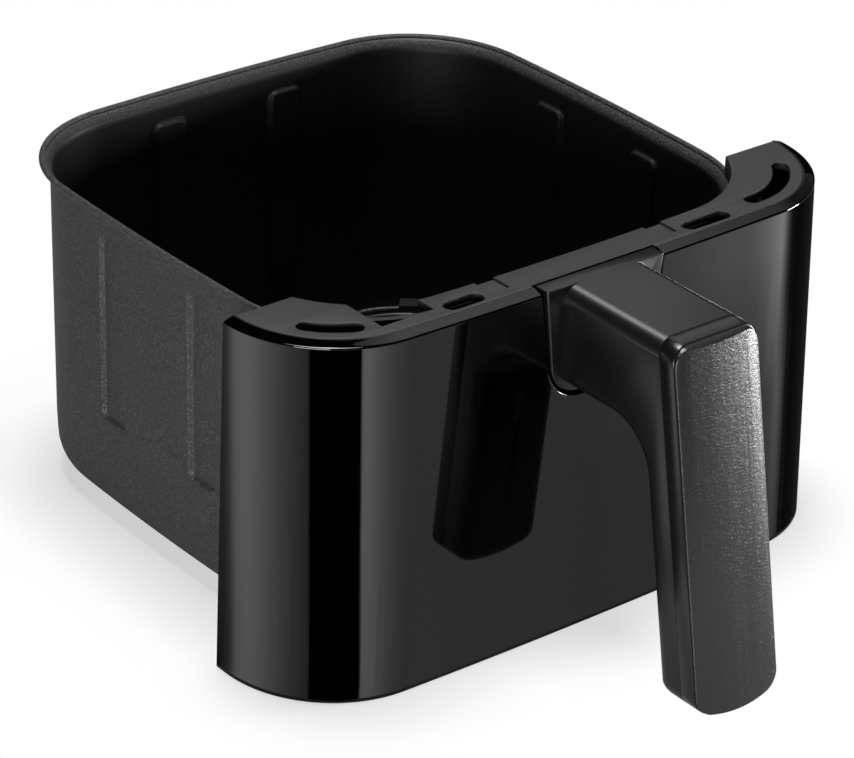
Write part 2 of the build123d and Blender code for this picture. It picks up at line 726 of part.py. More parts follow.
def handle_lower_shell():
    """Underside of the stem and rear of the grip, with the bosses for its screws."""
    body = (handle_form() - handle_form(shell_wall)) - above_seam() - ahead_of()
    whole = handle_form() - above_seam() - ahead_of()
    for place in grip_screw_places:
        body += rod(grip_plane_back(place, front_depth - frame_web), grip_boss / 2, boss_run) & whole
    for place in core_screw_places:
        body += rod(grip_plane_back(place, -strap_depth), core_boss / 2, boss_run) & whole
    for place in grip_screw_places:
        start = grip_plane_back(place, front_depth - head_sink)
        body -= rod(start, plastic_screw / 2 + fit, grip_screw_length + pilot_gap)
    for place in core_screw_places:
        pilot = grip_plane_back(place, overcut - strap_depth)
        body -= rod(pilot, plastic_screw / 2 + fit, core_screw_length)
    return body


def grip_frame():
    """Tray in front of the shells: a band around the grip and the web that carries the insert."""
    body = frame_block() - (handle_form(shell_wall) - ahead_of(front_depth - frame_web))
    for place in grip_screw_places:
        body -= rod(grip_plane_back(place, front_depth), plastic_screw / 2 + fit, frame_web + overcut)
        seat = grip_plane_back(place, front_depth + overcut)
        body -= rod(seat, plastic_head / 2 + head_gap, head_sink + overcut)
    for place in peg_places:
        body -= rod(grip_plane_back(place, front_depth), peg_diameter / 2 + fit, peg_length + peg_gap)
    return body


def grip_insert():
    """Textured cover of the grip's front: crowned across its width, with three pegs behind."""
    height = insert_edge + insert_crown
    body = (handle_form(insert_inset) & ahead_of(front_depth)) - ahead_of(front_depth + height + overcut)
    half = stem_half_width - insert_inset
    crown_radius = (half ** 2 + insert_crown ** 2) / (2 * insert_crown)
    top = grip_plane(-big / 4, front_depth + height - crown_radius)
    barrel = Plane(origin=top.origin, x_dir=(1, 0, 0), z_dir=(0, -math.sin(lean), -math.cos(lean)))
    body &= extrude(barrel * Circle(crown_radius), big, dir=barrel.z_dir)
    body = fillet([e for e in body.edges() if not on_plane(e, front_depth)], insert_round)
    for place in peg_places:
        body += rod(grip_plane_back(place, front_depth), peg_diameter / 2, peg_length)
    return body


def on_plane(edge, depth):
    """Whether an edge lies in the plane parallel to the parting plane at a depth."""
    plane = grip_plane(0, depth)
    return all(abs(plane.to_local_coords(edge @ t).Z) < 2 * same for t in (0, 0.5, 1))


def frame_block():
    """The part of the handle that the grip frame fills, before it is hollowed."""
    return (handle_form() & ahead_of()) - ahead_of(front_depth)


def strap_line(depth, level):
    """Point on the plane behind the parting plane at a level."""
    return (parting(level) + depth / math.cos(lean), level)


def handle_core():
    """Bent steel strap: upright behind the mount plate, along the stem and down the grip."""
    arm_top = core_arm_level + core_strap
    front = strap_depth - core_strap
    end_front = grip_plane(core_end, -front).origin
    end_rear = grip_plane(core_end, -strap_depth).origin
    points = [
        (mount_front, core_low),
        (mount_front, arm_top),
        strap_line(front, arm_top),
        (end_front.Y, end_front.Z),
        (end_rear.Y, end_rear.Z),
        strap_line(strap_depth, core_arm_level),
        (mount_front - core_strap, core_arm_level),
        (mount_front - core_strap, core_low),
    ]
    face = make_face(Polyline(*points, close=True))

    for place, radius in ((2, core_strap * 2), (5, core_strap), (6, core_strap)):
        face = fillet(corners_at(face, points[place]), radius)
    body = extrude(Plane.YZ * face, core_half_width + core_foot, both=True)
    foot_front = mount_front - core_strap - core_foot
    narrow = block(-core_half_width, core_half_width, -big, foot_front, 0, big)
    body = (body & narrow) + (body & block(-big, big, foot_front, 0, 0, big))
    for x, level in handle_screw_places:
        body -= rod(facing_pan(x, -big / 2, level), machine_screw / 2 + fit, big / 2)
    for place in core_screw_places:
        body -= rod(grip_plane_back(place, 0), plastic_screw / 2 + fit, boss_run)
    for place in grip_screw_places:
        if place < core_end + grip_boss:
            body -= rod(grip_plane_back(place, 0), grip_boss / 2 + core_boss_gap, boss_run)
    return body


# ================================================================ screws
handle_screw_seat = mount_front - core_strap
handle_screw_end = pan_line.front_y(bracket_outer - bracket_sheet, 0) + nut_height
handle_screw_length = handle_screw_end - handle_screw_seat - screw_short


def handle_screws():
    """Machine screws from the strap through mount, frame and bracket into the nuts."""
    screws = []
    for x, level in handle_screw_places:
        plane = facing_pan(x, handle_screw_seat, level)
        screws.append(screw(plane, machine_screw, handle_screw_length, machine_head, machine_head_height))
    return screws


def panel_screws():
    screws = []
    for x, level in panel_boss_spots():
        seat = pan_line.front_y(frame_inner, x) - spot_depth
        plane = facing_front(x, seat, level)
        screws.append(screw(plane, plastic_screw, panel_screw_length, plastic_head, plastic_head_height))
    return screws


def bezel_screws():
    """Screws from under the frame's upper shelf into the bezel's bosses."""
    screws = []
    for x, y in bezel_screw_places:
        plane = upward(x, y, shelf_level)
        screws.append(screw(plane, plastic_screw, bezel_screw_length, plastic_head, plastic_head_height))
    return screws


def grip_screws():
    """Screws through the grip frame into the lower shell, hidden by the insert."""
    screws = []
    for place in grip_screw_places:
        plane = grip_plane_back(place, front_depth - head_sink)
        screws.append(screw(plane, plastic_screw, grip_screw_length, plastic_head, plastic_head_height))
    return screws


def core_screws():
    screws = []
    for place in core_screw_places:
        plane = grip_plane_back(place, core_strap - strap_depth)
        screws.append(screw(plane, plastic_screw, core_screw_length, plastic_head, plastic_head_height))
    return screws


# ================================================================ crisper plate
def plate_offset():
    """Offset of the plate's edge from the pan's plain wall at the top."""
    level = plate_level + plate_thickness
    inner_radius = pan_floor_radius - pan_wall
    rise = max(pan_floor_radius - level, 0)
    curve = inner_radius - math.sqrt(inner_radius ** 2 - rise ** 2)
    return -pan_draft * (1 - level / pan_height) - pan_wall - curve - plate_gap


def grid_windows():
    """Windows of the grid, those at the edge cut off by the ring."""
    ring_offset = plate_offset() - plate_ring
    inside = pan_line.face(ring_offset)
    side = grid_pitch - grid_bar
    count = int(pan_half_width / grid_pitch) + 1
    windows = []
    for i in range(-count, count + 1):
        for j in range(-count, count + 1):
            x, y = i * grid_pitch, j * grid_pitch
            if any(math.hypot(x - foot_x, y - foot_y) < grid_bar for foot_x, foot_y in foot_spots()):
                continue
            window = Pos(x, y) * RectangleRounded(side, side, window_corner)
            if not pan_line.holds(abs(x) + side / 2, abs(y) + side / 2, ring_offset):
                window = window & inside
            faces = window.faces() if window else []
            windows += [face for face in faces if face.area > side ** 2 * smallest_window]
    return windows


def foot_spots():
    """Middle of the closed squares that are pressed down as feet."""
    x, y = (count * grid_pitch for count in foot_windows)
    return [(sx * x, sy * y) for sx in (-1, 1) for sy in (-1, 1)]


def crisper_plate():
    """Grid with a raised ring: outer edge, groove and inner bead, and four pressed feet."""
    edge = plate_offset()
    top = plate_level + plate_thickness
    grid = pan_line.face(edge, plate_level) - [Pos(0, 0, plate_level) * window for window in grid_windows()]
    body = extrude(grid, plate_thickness, dir=(0, 0, 1))
    rim_edge = pan_line.ring(edge - plate_edge_width, edge, top, top + plate_edge_height)
    bead_outer = edge - plate_ring + plate_bead_width
    bead = pan_line.ring(edge - plate_ring, bead_outer, top, top + plate_bead_height)
    rim_edge = fillet(rim_edge.edges().group_by(Axis.Z)[-1], plate_edge_width * ring_round)
    bead = fillet(bead.edges().group_by(Axis.Z)[-1], plate_bead_width * ring_round)
    body += rim_edge + bead
    floor = pan_wall + foot_gap
    inner_floor = floor + plate_thickness
    low_radius = foot_radius * foot_taper
    for x, y in foot_spots():
        cup = Cone(low_radius, foot_radius, plate_level - floor)
        hollow = Cone(low_radius - plate_thickness, foot_radius - plate_thickness, top - inner_floor)
        body += Pos(x, y, (plate_level + floor) / 2) * cup
        body -= Pos(x, y, (top + inner_floor) / 2) * hollow
    return body


def bumper_zone(sx, sy):
    """Radial slice of the pan's corner that one bumper fills."""
    middle = (pan_line.to_side + pan_line.to_front) / 2
    turn = math.degrees(math.atan2(sy * math.sin(middle), sx * math.cos(middle)))
    place = Pos(sx * pan_line.cx, sy * pan_line.cy, 0) * Rot(0, 0, turn)
    return place * (Pos(big / 4, 0, plate_level) * Box(big / 2, bumper_length, big / 4))


def plate_bumper(sx, sy):
    """Silicone bumper that grips the plate's edge from above and below."""
    edge = plate_offset()
    top = plate_level + plate_thickness
    edge_top = top + plate_edge_height
    inner = edge - plate_edge_width
    grip = pan_line.ring(inner - bumper_wall, 0, plate_level - bumper_wall, edge_top + bumper_wall)
    body = grip & pan_cavity(bumper_gap) & bumper_zone(sx, sy)
    plate = pan_line.prism(edge + bumper_fit, plate_level - bumper_fit, top + bumper_fit)
    plate += pan_line.ring(inner - bumper_fit, edge + bumper_fit, top, edge_top + bumper_fit)
    return body - plate


# ================================================================ parts
def build_parts():
    parts = {
        "pan": pan(),
        "mounting_bracket": mounting_bracket(),
        "bracket_rivets": bracket_rivets(),
        "weld_nuts": weld_nuts(),
        "heat_shield": heat_shield(),
        "inner_frame": inner_frame(),
        "front_panel": front_panel(),
        "panel_screws": panel_screws(),
        "top_bezel": top_bezel(),
        "bezel_screws": bezel_screws(),
        "handle_upper_shell": handle_upper_shell(),
        "handle_lower_shell": handle_lower_shell(),
        "handle_core": handle_core(),
        "handle_screws": handle_screws(),
        "core_screws": core_screws(),
        "grip_frame": grip_frame(),
        "grip_screws": grip_screws(),
        "grip_insert": grip_insert(),
        "crisper_plate": crisper_plate(),
    }
    corners = [("back_left", -1, 1), ("back_right", 1, 1), ("front_left", -1, -1), ("front_right", 1, -1)]
    for name, sx, sy in corners:
        parts[f"plate_bumper_{name}"] = plate_bumper(sx, sy)
    return parts


def write_parts():
    os.makedirs("parts", exist_ok=True)
    for name, shape in build_parts().items():
        solids = ShapeList(shape).solids() if isinstance(shape, list) else shape.solids()
        export_step(Compound(children=list(solids)), f"parts/{name}.step")


write_parts()
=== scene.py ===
"""Drawer of a square-basket air fryer: the finished surfaces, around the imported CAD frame."""

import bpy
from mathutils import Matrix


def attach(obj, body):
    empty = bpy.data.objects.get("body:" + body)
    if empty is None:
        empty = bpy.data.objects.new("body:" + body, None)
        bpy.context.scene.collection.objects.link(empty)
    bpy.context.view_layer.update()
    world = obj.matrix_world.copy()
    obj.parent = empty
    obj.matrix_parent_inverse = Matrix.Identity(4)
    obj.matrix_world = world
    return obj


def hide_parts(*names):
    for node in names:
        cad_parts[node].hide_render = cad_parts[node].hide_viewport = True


bl_info = {
    "name": "Air Fryer Drawer",
    "version": (1, 0, 0),
    "blender": (4, 5, 0),
    "location": "View3D > Sidebar > Drawer",
    "description": "Builds the drawer of a square-basket air fryer, with its pan, front and handle",
    "category": "Object",
}

import math

import bmesh
import bpy
import numpy as np
from bpy.props import FloatProperty, FloatVectorProperty, IntProperty, PointerProperty
from mathutils import Matrix, Vector

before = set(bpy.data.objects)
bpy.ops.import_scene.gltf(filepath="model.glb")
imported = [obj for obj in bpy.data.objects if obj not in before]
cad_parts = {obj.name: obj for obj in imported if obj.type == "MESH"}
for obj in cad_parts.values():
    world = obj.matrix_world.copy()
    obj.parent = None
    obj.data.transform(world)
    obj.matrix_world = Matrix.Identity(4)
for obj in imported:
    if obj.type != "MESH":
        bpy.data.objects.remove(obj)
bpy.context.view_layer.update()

MM = 0.001
MICRON = 0.000001
SHARP_ANGLE = 35.0  # degrees between faces from which their edge counts as sharp
MOULDED_ANGLE = 40.0  # the same for the panel and the handle
PRESSED_ANGLE = 50.0  # the same for the pan
PAINTED_SHADE_INSIDE = (0.0015, 0.0015, 0.0016, 1.0)  # painted shade: the near black that the coat turns to inside the pan


# ---------------------------------------------------------------- what a user would change
def length(text, name, millimetres):
    return FloatProperty(name=name, description=text, default=millimetres * MM, unit="LENGTH",
                         subtype="DISTANCE")


def share(text, name, value):
    return FloatProperty(name=name, description=text, default=value, min=0.0, max=1.0, subtype="FACTOR")


def colour(text, name, rgb):
    return FloatVectorProperty(name=name, description=text, default=(*rgb, 1.0), size=4, min=0.0,
                               max=1.0, subtype="COLOR")


class DrawerPanSizes(bpy.types.PropertyGroup):
    half_width: length("Half the pan's width at the top of its plain wall", "Half width", 106.7)
    half_depth: length("Half the pan's depth there", "Half depth", 102.5)
    corner: length("Radius of the pan's upright corners", "Corner", 47.5)
    bow: length("How far each wall bulges between its corners", "Bow", 1.1)
    wall: length("Thickness of the sheet", "Wall", 1.0)
    height: length("Top of the plain wall, under the rim", "Height", 128.7)
    draft: length("How much each half size shrinks from there to the floor", "Draft", 2.0)
    floor_radius: length("Outer radius between floor and wall", "Floor radius", 18.0)
    rim_reach: length("Outermost edge of the rim beyond the wall", "Rim reach", 4.1)
    rim_rise: length("Middle of the rim's bead above the plain wall", "Rim rise", 3.3)
    rim_bead: length("Radius of the rim's bead", "Rim bead", 1.2)
    rim_flare: length("Width of the sloping flare inside the bead", "Rim flare", 2.5)
    rib_pitch: length("Distance between the two pressed ribs of a wall", "Rib pitch", 56.0)
    rib_width: length("Width of a pressed rib at its mouth", "Rib width", 16.0)
    rib_low: length("Lower end of the ribs", "Rib low", 43.5)
    rib_high: length("Upper end of the ribs", "Rib high", 122.0)
    rib_depth: length("Depth that the ribs are pressed in", "Rib depth", 1.8)
    rib_slope: length("Width of a rib's sloping flank", "Rib slope", 1.2)
    rib_corner: length("Corner radius of a rib", "Rib corner", 3.5)


class DrawerPanelSizes(bpy.types.PropertyGroup):
    half_width: length("Half the panel's width at the top", "Half width", 131.0)
    front: length("Middle of the panel's front, ahead of the pan's centre", "Front", 122.55)
    corner: length("Radius of the panel's corners", "Corner", 46.0)
    side_bow: length("Bulge of the panel's sides", "Side bow", 0.1)
    front_bow: length("Bulge of the panel's front", "Front bow", 1.4)
    wall: length("Thickness of the moulding", "Wall", 3.0)
    height: length("Top of the panel's upright face", "Height", 138.7)
    spread: length("How much further out each side stands at the floor", "Spread", 1.0)
    lean: length("How much further out the front stands at the floor", "Lean", 5.95)
    back: length("Where the two ends stop, ahead of the pan's centre", "Back", 75.1)
    lift: length("Lower edge above the surface that the drawer stands on", "Lift", 0.4)
    band_width: length("Width of the sloping band along the top edge", "Band width", 4.5)
    band_rise: length("Rise of that band", "Band rise", 1.4)
    band_depth: length("Height of the thicker lip under the band", "Band depth", 2.7)
    edge: length("Rounding of the moulding's edges", "Edge", 0.35)
    gap: length("Gap around the handle's mount", "Gap", 1.3)


class DrawerMountSizes(bpy.types.PropertyGroup):
    half_top: length("Half the mount's width at the top", "Half top", 27.3)
    half_low: length("Half the mount's width at the bottom", "Half low", 21.8)
    low: length("Lower edge of the mount", "Low", 96.5)
    corner: length("Radius of the mount's lower corners", "Corner", 14.0)


class DrawerFinishes(bpy.types.PropertyGroup):
    coat: colour("Colour of the pan's non-stick coat", "Coat", (0.033, 0.033, 0.034))
    coat_fleck: colour("Colour of the coat's pale flecks", "Coat fleck", (0.155, 0.155, 0.158))
    # Painted shade: how strongly the coat is blended into the painted shade inside the pan
    inside: share("How much darker the coat is inside the pan", "Inside", 0.9)
    gloss: colour("Colour of the glossy front panel", "Gloss", (0.0003, 0.0003, 0.00035))
    matte: colour("Colour of the matte bezel", "Matte", (0.026, 0.026, 0.027))
    handle: colour("Colour of the handle's satin shells", "Handle", (0.004, 0.004, 0.0043))
    grip: colour("Colour of the textured grip insert", "Grip", (0.006, 0.006, 0.0065))


def settings(name):
    """One of the property groups, on the scene."""
    return getattr(bpy.context.scene, "drawer_" + name)


# ---------------------------------------------------------------- node trees
def join(tree, source, target):
    tree.links.new(source, target)


def add_node(tree, kind, inputs=None, **options):
    """Adds a node. Inputs go by name or place, as sockets to link or as plain values."""
    node = tree.nodes.new(kind)
    for name, value in options.items():
        setattr(node, name, value)
    for key, value in (inputs or {}).items():
        if isinstance(value, bpy.types.NodeSocket):
            join(tree, value, node.inputs[key])
        else:
            node.inputs[key].default_value = value
    return node


def put(tree, kind, inputs=None, out=0, **options):
    """Adds a node and gives one of its outputs, by name or place."""
    return add_node(tree, kind, inputs, **options).outputs[out]


def maths(tree, operation, *values):
    """Result of an operation on sockets or numbers."""
    return put(tree, "ShaderNodeMath", dict(enumerate(values)), operation=operation)


def blend_colour(tree, factor, a, b):
    return put(tree, "ShaderNodeMix", {0: factor, 6: a, 7: b}, 2, data_type="RGBA")


def smooth_range(tree, value, low, high, **ends):
    """Runs softly from one end to the other between two values. Its ends are 0 and 1 unless given."""
    inputs = {"Value": value, "From Min": low, "From Max": high}
    inputs.update({name.replace("_", " "): end for name, end in ends.items()})
    return put(tree, "ShaderNodeMapRange", inputs, interpolation_type="SMOOTHSTEP")


def new_group(name, sizes, results):
    """A shader node group with its inputs, its outputs and the object coordinates."""
    group = bpy.data.node_groups.new(name, "ShaderNodeTree")
    for label, default in sizes.items():
        socket = group.interface.new_socket(name=label, in_out="INPUT", socket_type="NodeSocketFloat")
        socket.default_value = default
    for label in results:
        group.interface.new_socket(name=label, in_out="OUTPUT", socket_type="NodeSocketFloat")
    ins, outs = add_node(group, "NodeGroupInput"), add_node(group, "NodeGroupOutput")
    return group, ins.outputs, outs.inputs, put(group, "ShaderNodeTexCoord", out="Object")


def pebble_group():
    """Fine moulded or sprayed pebble: a height, and a mask of its raised spots."""
    noise_share, cell_relief = 0.6, 0.45
    group, ins, outs, place = new_group("Pebble", {"Scale": 1200.0, "Spots": 0.55, "Spread": 0.2},
                                        ("Height", "Spot"))
    cells = put(group, "ShaderNodeTexVoronoi",
                {"Vector": place, "Scale": ins["Scale"], "Smoothness": 0.6}, "Distance",
                feature="SMOOTH_F1")
    broader = maths(group, "MULTIPLY", ins["Scale"], noise_share)
    noise = put(group, "ShaderNodeTexNoise", {"Vector": place, "Scale": broader, "Detail": 3.0}, "Fac")
    height = maths(group, "SUBTRACT", noise, maths(group, "MULTIPLY", cells, cell_relief))
    join(group, height, outs["Height"])
    full = maths(group, "ADD", ins["Spots"], ins["Spread"])
    join(group, smooth_range(group, noise, ins["Spots"], full), outs["Spot"])
    return group


def handling_group():
    """Soft cloudy variation, as handling and wiping leave on a moulding: a value around 1."""
    group, ins, outs, place = new_group("Handling", {"Scale": 18.0, "Amount": 0.2}, ("Factor",))
    noise = put(group, "ShaderNodeTexNoise",
                {"Vector": place, "Scale": ins["Scale"], "Detail": 4.0, "Distortion": 0.8}, "Fac")
    centred = maths(group, "SUBTRACT", noise, 0.5)
    join(group, maths(group, "MULTIPLY_ADD", centred, ins["Amount"], 1.0), outs["Factor"])
    return group


def grain_group():
    """Short wavy grain across the width, as a moulded leather or brushed pattern has: a height."""
    group, ins, outs, place = new_group("Grain", {"Scale": 300.0, "Stretch": 3.0}, ("Height",))
    squeeze = put(group, "ShaderNodeCombineXYZ", {"X": 1.0, "Y": 1.0, "Z": ins["Stretch"]})
    stretched = put(group, "ShaderNodeVectorMath", {0: place, 1: squeeze}, operation="MULTIPLY")
    noise = put(group, "ShaderNodeTexNoise", {"Vector": stretched, "Scale": ins["Scale"], "Detail": 5.0,
                                              "Roughness": 0.62, "Distortion": 0.9}, "Fac")
    join(group, noise, outs["Height"])
    return group


GROUP_MAKERS = {"Grain": grain_group, "Pebble": pebble_group, "Handling": handling_group}


# ---------------------------------------------------------------- finishes
class Finish:
    """A material with one Principled BSDF, and short ways to feed it."""

    def __init__(self, name, base, roughness, metallic=0.0, specular=0.5):
        self.material = bpy.data.materials.new(name)
        self.material.use_nodes = True
        self.tree = self.material.node_tree
        self.shader = self.tree.nodes["Principled BSDF"]
        self.base, self.roughness = (*base[:3], 1.0), roughness
        self.relief = None
        for label, value in (("Base Color", self.base), ("Roughness", roughness), ("Metallic", metallic),
                             ("Specular IOR Level", specular)):
            self.shader.inputs[label].default_value = value

    def group(self, name, **values):
        """Outputs of a shared group, which is built the first time, with this material's own values."""
        shared = bpy.data.node_groups.get(name) or GROUP_MAKERS[name]()
        return add_node(self.tree, "ShaderNodeGroup", values, node_tree=shared, label=name).outputs

    def feed(self, label, source):
        join(self.tree, source, self.shader.inputs[label])

    def handled(self, scale, amount):
        """Varies the roughness in soft clouds."""
        cloud = self.group("Handling", Scale=scale, Amount=amount)
        self.feed("Roughness", maths(self.tree, "MULTIPLY", cloud["Factor"], self.roughness))
        return self

    def bump(self, height, distance, strength=1.0):
        """Adds a bump in front of those already there."""
        inputs = {"Strength": strength, "Distance": distance, "Height": height}
        if self.relief:
            inputs["Normal"] = self.relief
        self.relief = put(self.tree, "ShaderNodeBump", inputs)
        self.feed("Normal", self.relief)
        return self


def pebbled(name, base, roughness, scale, depth, fleck=None, spots=0.58, spread=0.14, fleck_share=0.6,
            specular=0.5):
    """A moulded or sprayed finish with fine pebble, pale flecks if asked, and traces of handling."""
    finish = Finish(name, base, roughness, specular=specular)
    pebble = finish.group("Pebble", Scale=scale, Spots=spots, Spread=spread)
    finish.bump(pebble["Height"], depth).handled(scale=18.0, amount=0.25)
    if fleck:
        amount = maths(finish.tree, "MULTIPLY", pebble["Spot"], fleck_share)
        finish.feed("Base Color", blend_colour(finish.tree, amount, finish.base, fleck))
    return finish


def pan_coat(look):
    """Non-stick coat: grey flecks outside, and painted shade that turns it nearly plain black inside the
    pan.
    """
    finish = pebbled("nonstick_coat", look.coat, roughness=0.5, scale=2600.0, depth=50 * MICRON,
                     fleck=look.coat_fleck, spots=0.47, spread=0.24, specular=0.35)
    flecked = finish.shader.inputs["Base Color"].links[0].from_socket
    # Painted shade: inside the pan the coat is blended towards near black, where shade falls
    inside = put(finish.tree, "ShaderNodeAttribute", out="Fac", attribute_name="inside")
    darker = maths(finish.tree, "MULTIPLY", inside, look.inside)
    finish.feed("Base Color", blend_colour(finish.tree, darker, flecked, PAINTED_SHADE_INSIDE))
    return finish


def plate_coat(look):
    return pebbled("nonstick_plate_coat", look.coat, roughness=0.38, scale=1700.0, depth=50 * MICRON,
                   fleck=look.coat_fleck, spots=0.6, fleck_share=0.3)


def glossy_panel(look):
    return Finish("piano_gloss", look.gloss, roughness=0.03).handled(scale=9.0, amount=0.6)


def matte_bezel(look):
    return pebbled("matte_moulding", look.matte, roughness=0.55, scale=2200.0, depth=30 * MICRON,
                   fleck=look.coat_fleck, spots=0.62, fleck_share=0.15)


def satin_shells(look):
    return pebbled("satin_moulding", look.handle, roughness=0.34, scale=2600.0, depth=12 * MICRON)


def smooth_grip(look):
    return pebbled("smooth_moulding", look.handle, roughness=0.28, scale=2600.0, depth=8 * MICRON)


def textured_grip(look):
    finish = pebbled("pebbled_grip", look.grip, roughness=0.31, scale=1900.0, depth=20 * MICRON,
                     fleck=look.coat_fleck, spots=0.6, fleck_share=0.12, specular=0.75)
    grain = finish.group("Grain", Scale=420.0, Stretch=3.0)
    return finish.bump(grain["Height"], distance=180 * MICRON, strength=0.8)


def inner_frame(_):
    return pebbled("frame_moulding", (0.012, 0.012, 0.013), roughness=0.5, scale=1500.0,
                   depth=30 * MICRON)


def silicone(_):
    return pebbled("black_silicone", (0.011, 0.011, 0.012), roughness=0.62, scale=1300.0,
                   depth=30 * MICRON)


def zinc_plate(_):
    finish = Finish("zinc_plated_steel", (0.42, 0.42, 0.43), roughness=0.34, metallic=1.0)
    finish.bump(finish.group("Pebble", Scale=700.0)["Height"], distance=20 * MICRON)
    return finish.handled(scale=40.0, amount=0.8)


def bright_shield(_):
    finish = Finish("bright_aluminium", (0.75, 0.75, 0.76), roughness=0.22, metallic=1.0)
    return finish.handled(scale=30.0, amount=0.9)


FINISHES = {
    "nonstick_steel": pan_coat,
    "nonstick_plate": plate_coat,
    "zinc_steel": zinc_plate,
    "shield_aluminium": bright_shield,
    "frame_plastic": inner_frame,
    "gloss_panel": glossy_panel,
    "matte_bezel": matte_bezel,
    "satin_handle": satin_shells,
    "smooth_grip": smooth_grip,
    "textured_grip": textured_grip,
    "silicone": silicone,
}
made_finishes = {}


def finish_of(slot):
    """The material of a slot, made once."""
    if slot not in made_finishes:
        made_finishes[slot] = FINISHES[slot](settings("finishes")).material
    return made_finishes[slot]


# ---------------------------------------------------------------- meshes
def add_object(name, data):
    holder = bpy.data.objects.new(name, data)
    bpy.context.scene.collection.objects.link(holder)
    return holder


def place_piece(name, mesh, slot, angle=SHARP_ANGLE):
    """A piece of the drawer's body, with its finish, and smooth between its sharp edges."""
    piece = add_object(name, mesh)
    mesh.materials.clear()
    mesh.materials.append(finish_of(slot))
    for face in mesh.polygons:
        face.use_smooth = True
    mesh.set_sharp_from_angle(angle=math.radians(angle))
    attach(piece, "drawer")
    return piece


def solid_piece(name, solid, slot, angle=SHARP_ANGLE):
    """Turns a bmesh into a piece."""
    mesh = bpy.data.meshes.new(name)
    solid.to_mesh(mesh)
    solid.free()
    return place_piece(name, mesh, slot, angle)


def taken_mesh(holder):
    """The mesh that an object's curve or modifiers make. The object is then removed."""
    bpy.context.view_layer.update()
    graph = bpy.context.evaluated_depsgraph_get()
    mesh = bpy.data.meshes.new_from_object(holder.evaluated_get(graph))
    bpy.data.objects.remove(holder)
    return mesh


def merged(meshes, gap=MICRON):
    """One bmesh from several meshes, whose points are merged where they are less than a gap apart."""
    solid = bmesh.new()
    for mesh in meshes:
        solid.from_mesh(mesh)
        bpy.data.meshes.remove(mesh)
    bmesh.ops.remove_doubles(solid, verts=solid.verts, dist=gap)
    bmesh.ops.recalc_face_normals(solid, faces=solid.faces)
    return solid


def plain_mesh(name, vertices, faces):
    mesh = bpy.data.meshes.new(name)
    mesh.from_pydata([tuple(v) for v in vertices], [], [tuple(f) for f in faces])
    return mesh


def grid_faces(rows, columns, start=0, wrap=False):
    """Quads between rows of a block of points, column by column."""
    faces = []
    for i in range(rows - 1):
        for j in range(columns if wrap else columns - 1):
            k = (j + 1) % columns
            faces.append((start + i * columns + j, start + i * columns + k,
                          start + (i + 1) * columns + k, start + (i + 1) * columns + j))
    return faces


# ---------------------------------------------------------------- outlines
def spread_out(*values):
    """Numbers or arrays as arrays of one shape."""
    return np.broadcast_arrays(*(np.asarray(value, float) for value in values))


class RoundedBox:
    """Plan outline with round corners whose four sides bulge a little. Any offset of it is exact."""

    def __init__(self, half_x, half_y, corner, side_bow, front_bow):
        self.corner = corner
        self.side_radius = ((half_y - corner) ** 2 + side_bow ** 2) / (2 * side_bow)
        self.front_radius = ((half_x - corner) ** 2 + front_bow ** 2) / (2 * front_bow)
        self.x0 = half_x - self.side_radius
        self.y0 = half_y - self.front_radius
        r0, r1 = self.side_radius - corner, self.front_radius - corner
        gap = math.hypot(self.x0, self.y0)
        along = (r0 ** 2 - r1 ** 2 + gap ** 2) / (2 * gap)
        across = math.sqrt(r0 ** 2 - along ** 2)
        self.cx = self.x0 - self.x0 / gap * along - self.y0 / gap * across
        self.cy = self.y0 / gap * along - self.x0 / gap * across
        self.side_angle = math.atan2(self.cy, self.cx - self.x0)
        self.front_angle = math.pi / 2 - math.atan2(self.cy - self.y0, self.cx)

    def quarter(self, t, offset=0.0):
        """Points and outward normals where x and y are positive. t is 0 to 1 along the front or back
        from its middle, 1 to 2 round the corner, and 2 to 3 along the side to its middle."""
        t, offset = spread_out(t, offset)
        round_end = math.pi / 2 - self.side_angle
        angle = np.where(t < 1, t * self.front_angle,
                         np.where(t < 2, self.front_angle + (t - 1) * (round_end - self.front_angle),
                                  round_end + (t - 2) * self.side_angle))
        centre_x = np.where(t < 1, 0.0, np.where(t < 2, self.cx, self.x0))
        centre_y = np.where(t < 1, self.y0, np.where(t < 2, self.cy, 0.0))
        radius = np.where(t < 1, self.front_radius, np.where(t < 2, self.corner, self.side_radius))
        radius = radius + offset
        nx, ny = np.sin(angle), np.cos(angle)
        return centre_x + radius * nx, centre_y + radius * ny, nx, ny

    def front_t(self, x, offset=0.0):
        """t of a point of the front side."""
        return np.arcsin(np.asarray(x, float) / (self.front_radius + offset)) / self.front_angle

    def side_t(self, y, offset=0.0):
        """t of a point of the side."""
        return 3 - np.arcsin(np.asarray(y, float) / (self.side_radius + offset)) / self.side_angle

    def angle_t(self, angle):
        """t of the point of the corner whose normal turns that far from the front's."""
        return 1 + (angle - self.front_angle) / (math.pi / 2 - self.side_angle - self.front_angle)

    def corner_t(self, x, offset=0.0):
        """t of a point of the corner, from its x."""
        return self.angle_t(np.arcsin((np.asarray(x, float) - self.cx) / (self.corner + offset)))

    def corner_end_t(self, y, offset):
        """t of a point of the corner, from its y."""
        return self.angle_t(math.acos((y - self.cy) / (self.corner + offset)))


def pan_line():
    s = settings("pan")
    return RoundedBox(s.half_width, s.half_depth, s.corner, s.bow, s.bow)


def panel_lines():
    """The panel's outline at the top of its face and at the floor."""
    s = settings("panel")
    top = RoundedBox(s.half_width, s.front, s.corner, s.side_bow, s.front_bow)
    foot = RoundedBox(s.half_width + s.spread, s.front + s.lean, s.corner, s.side_bow, s.front_bow)
    return top, foot


def arc_points(centre_x, centre_y, radius, start, end, steps):
    """Points of an arc between two angles in degrees."""
    angles = [math.radians(start + (end - start) * i / steps) for i in range(steps + 1)]
    return [(centre_x + radius * math.cos(a), centre_y + radius * math.sin(a)) for a in angles]


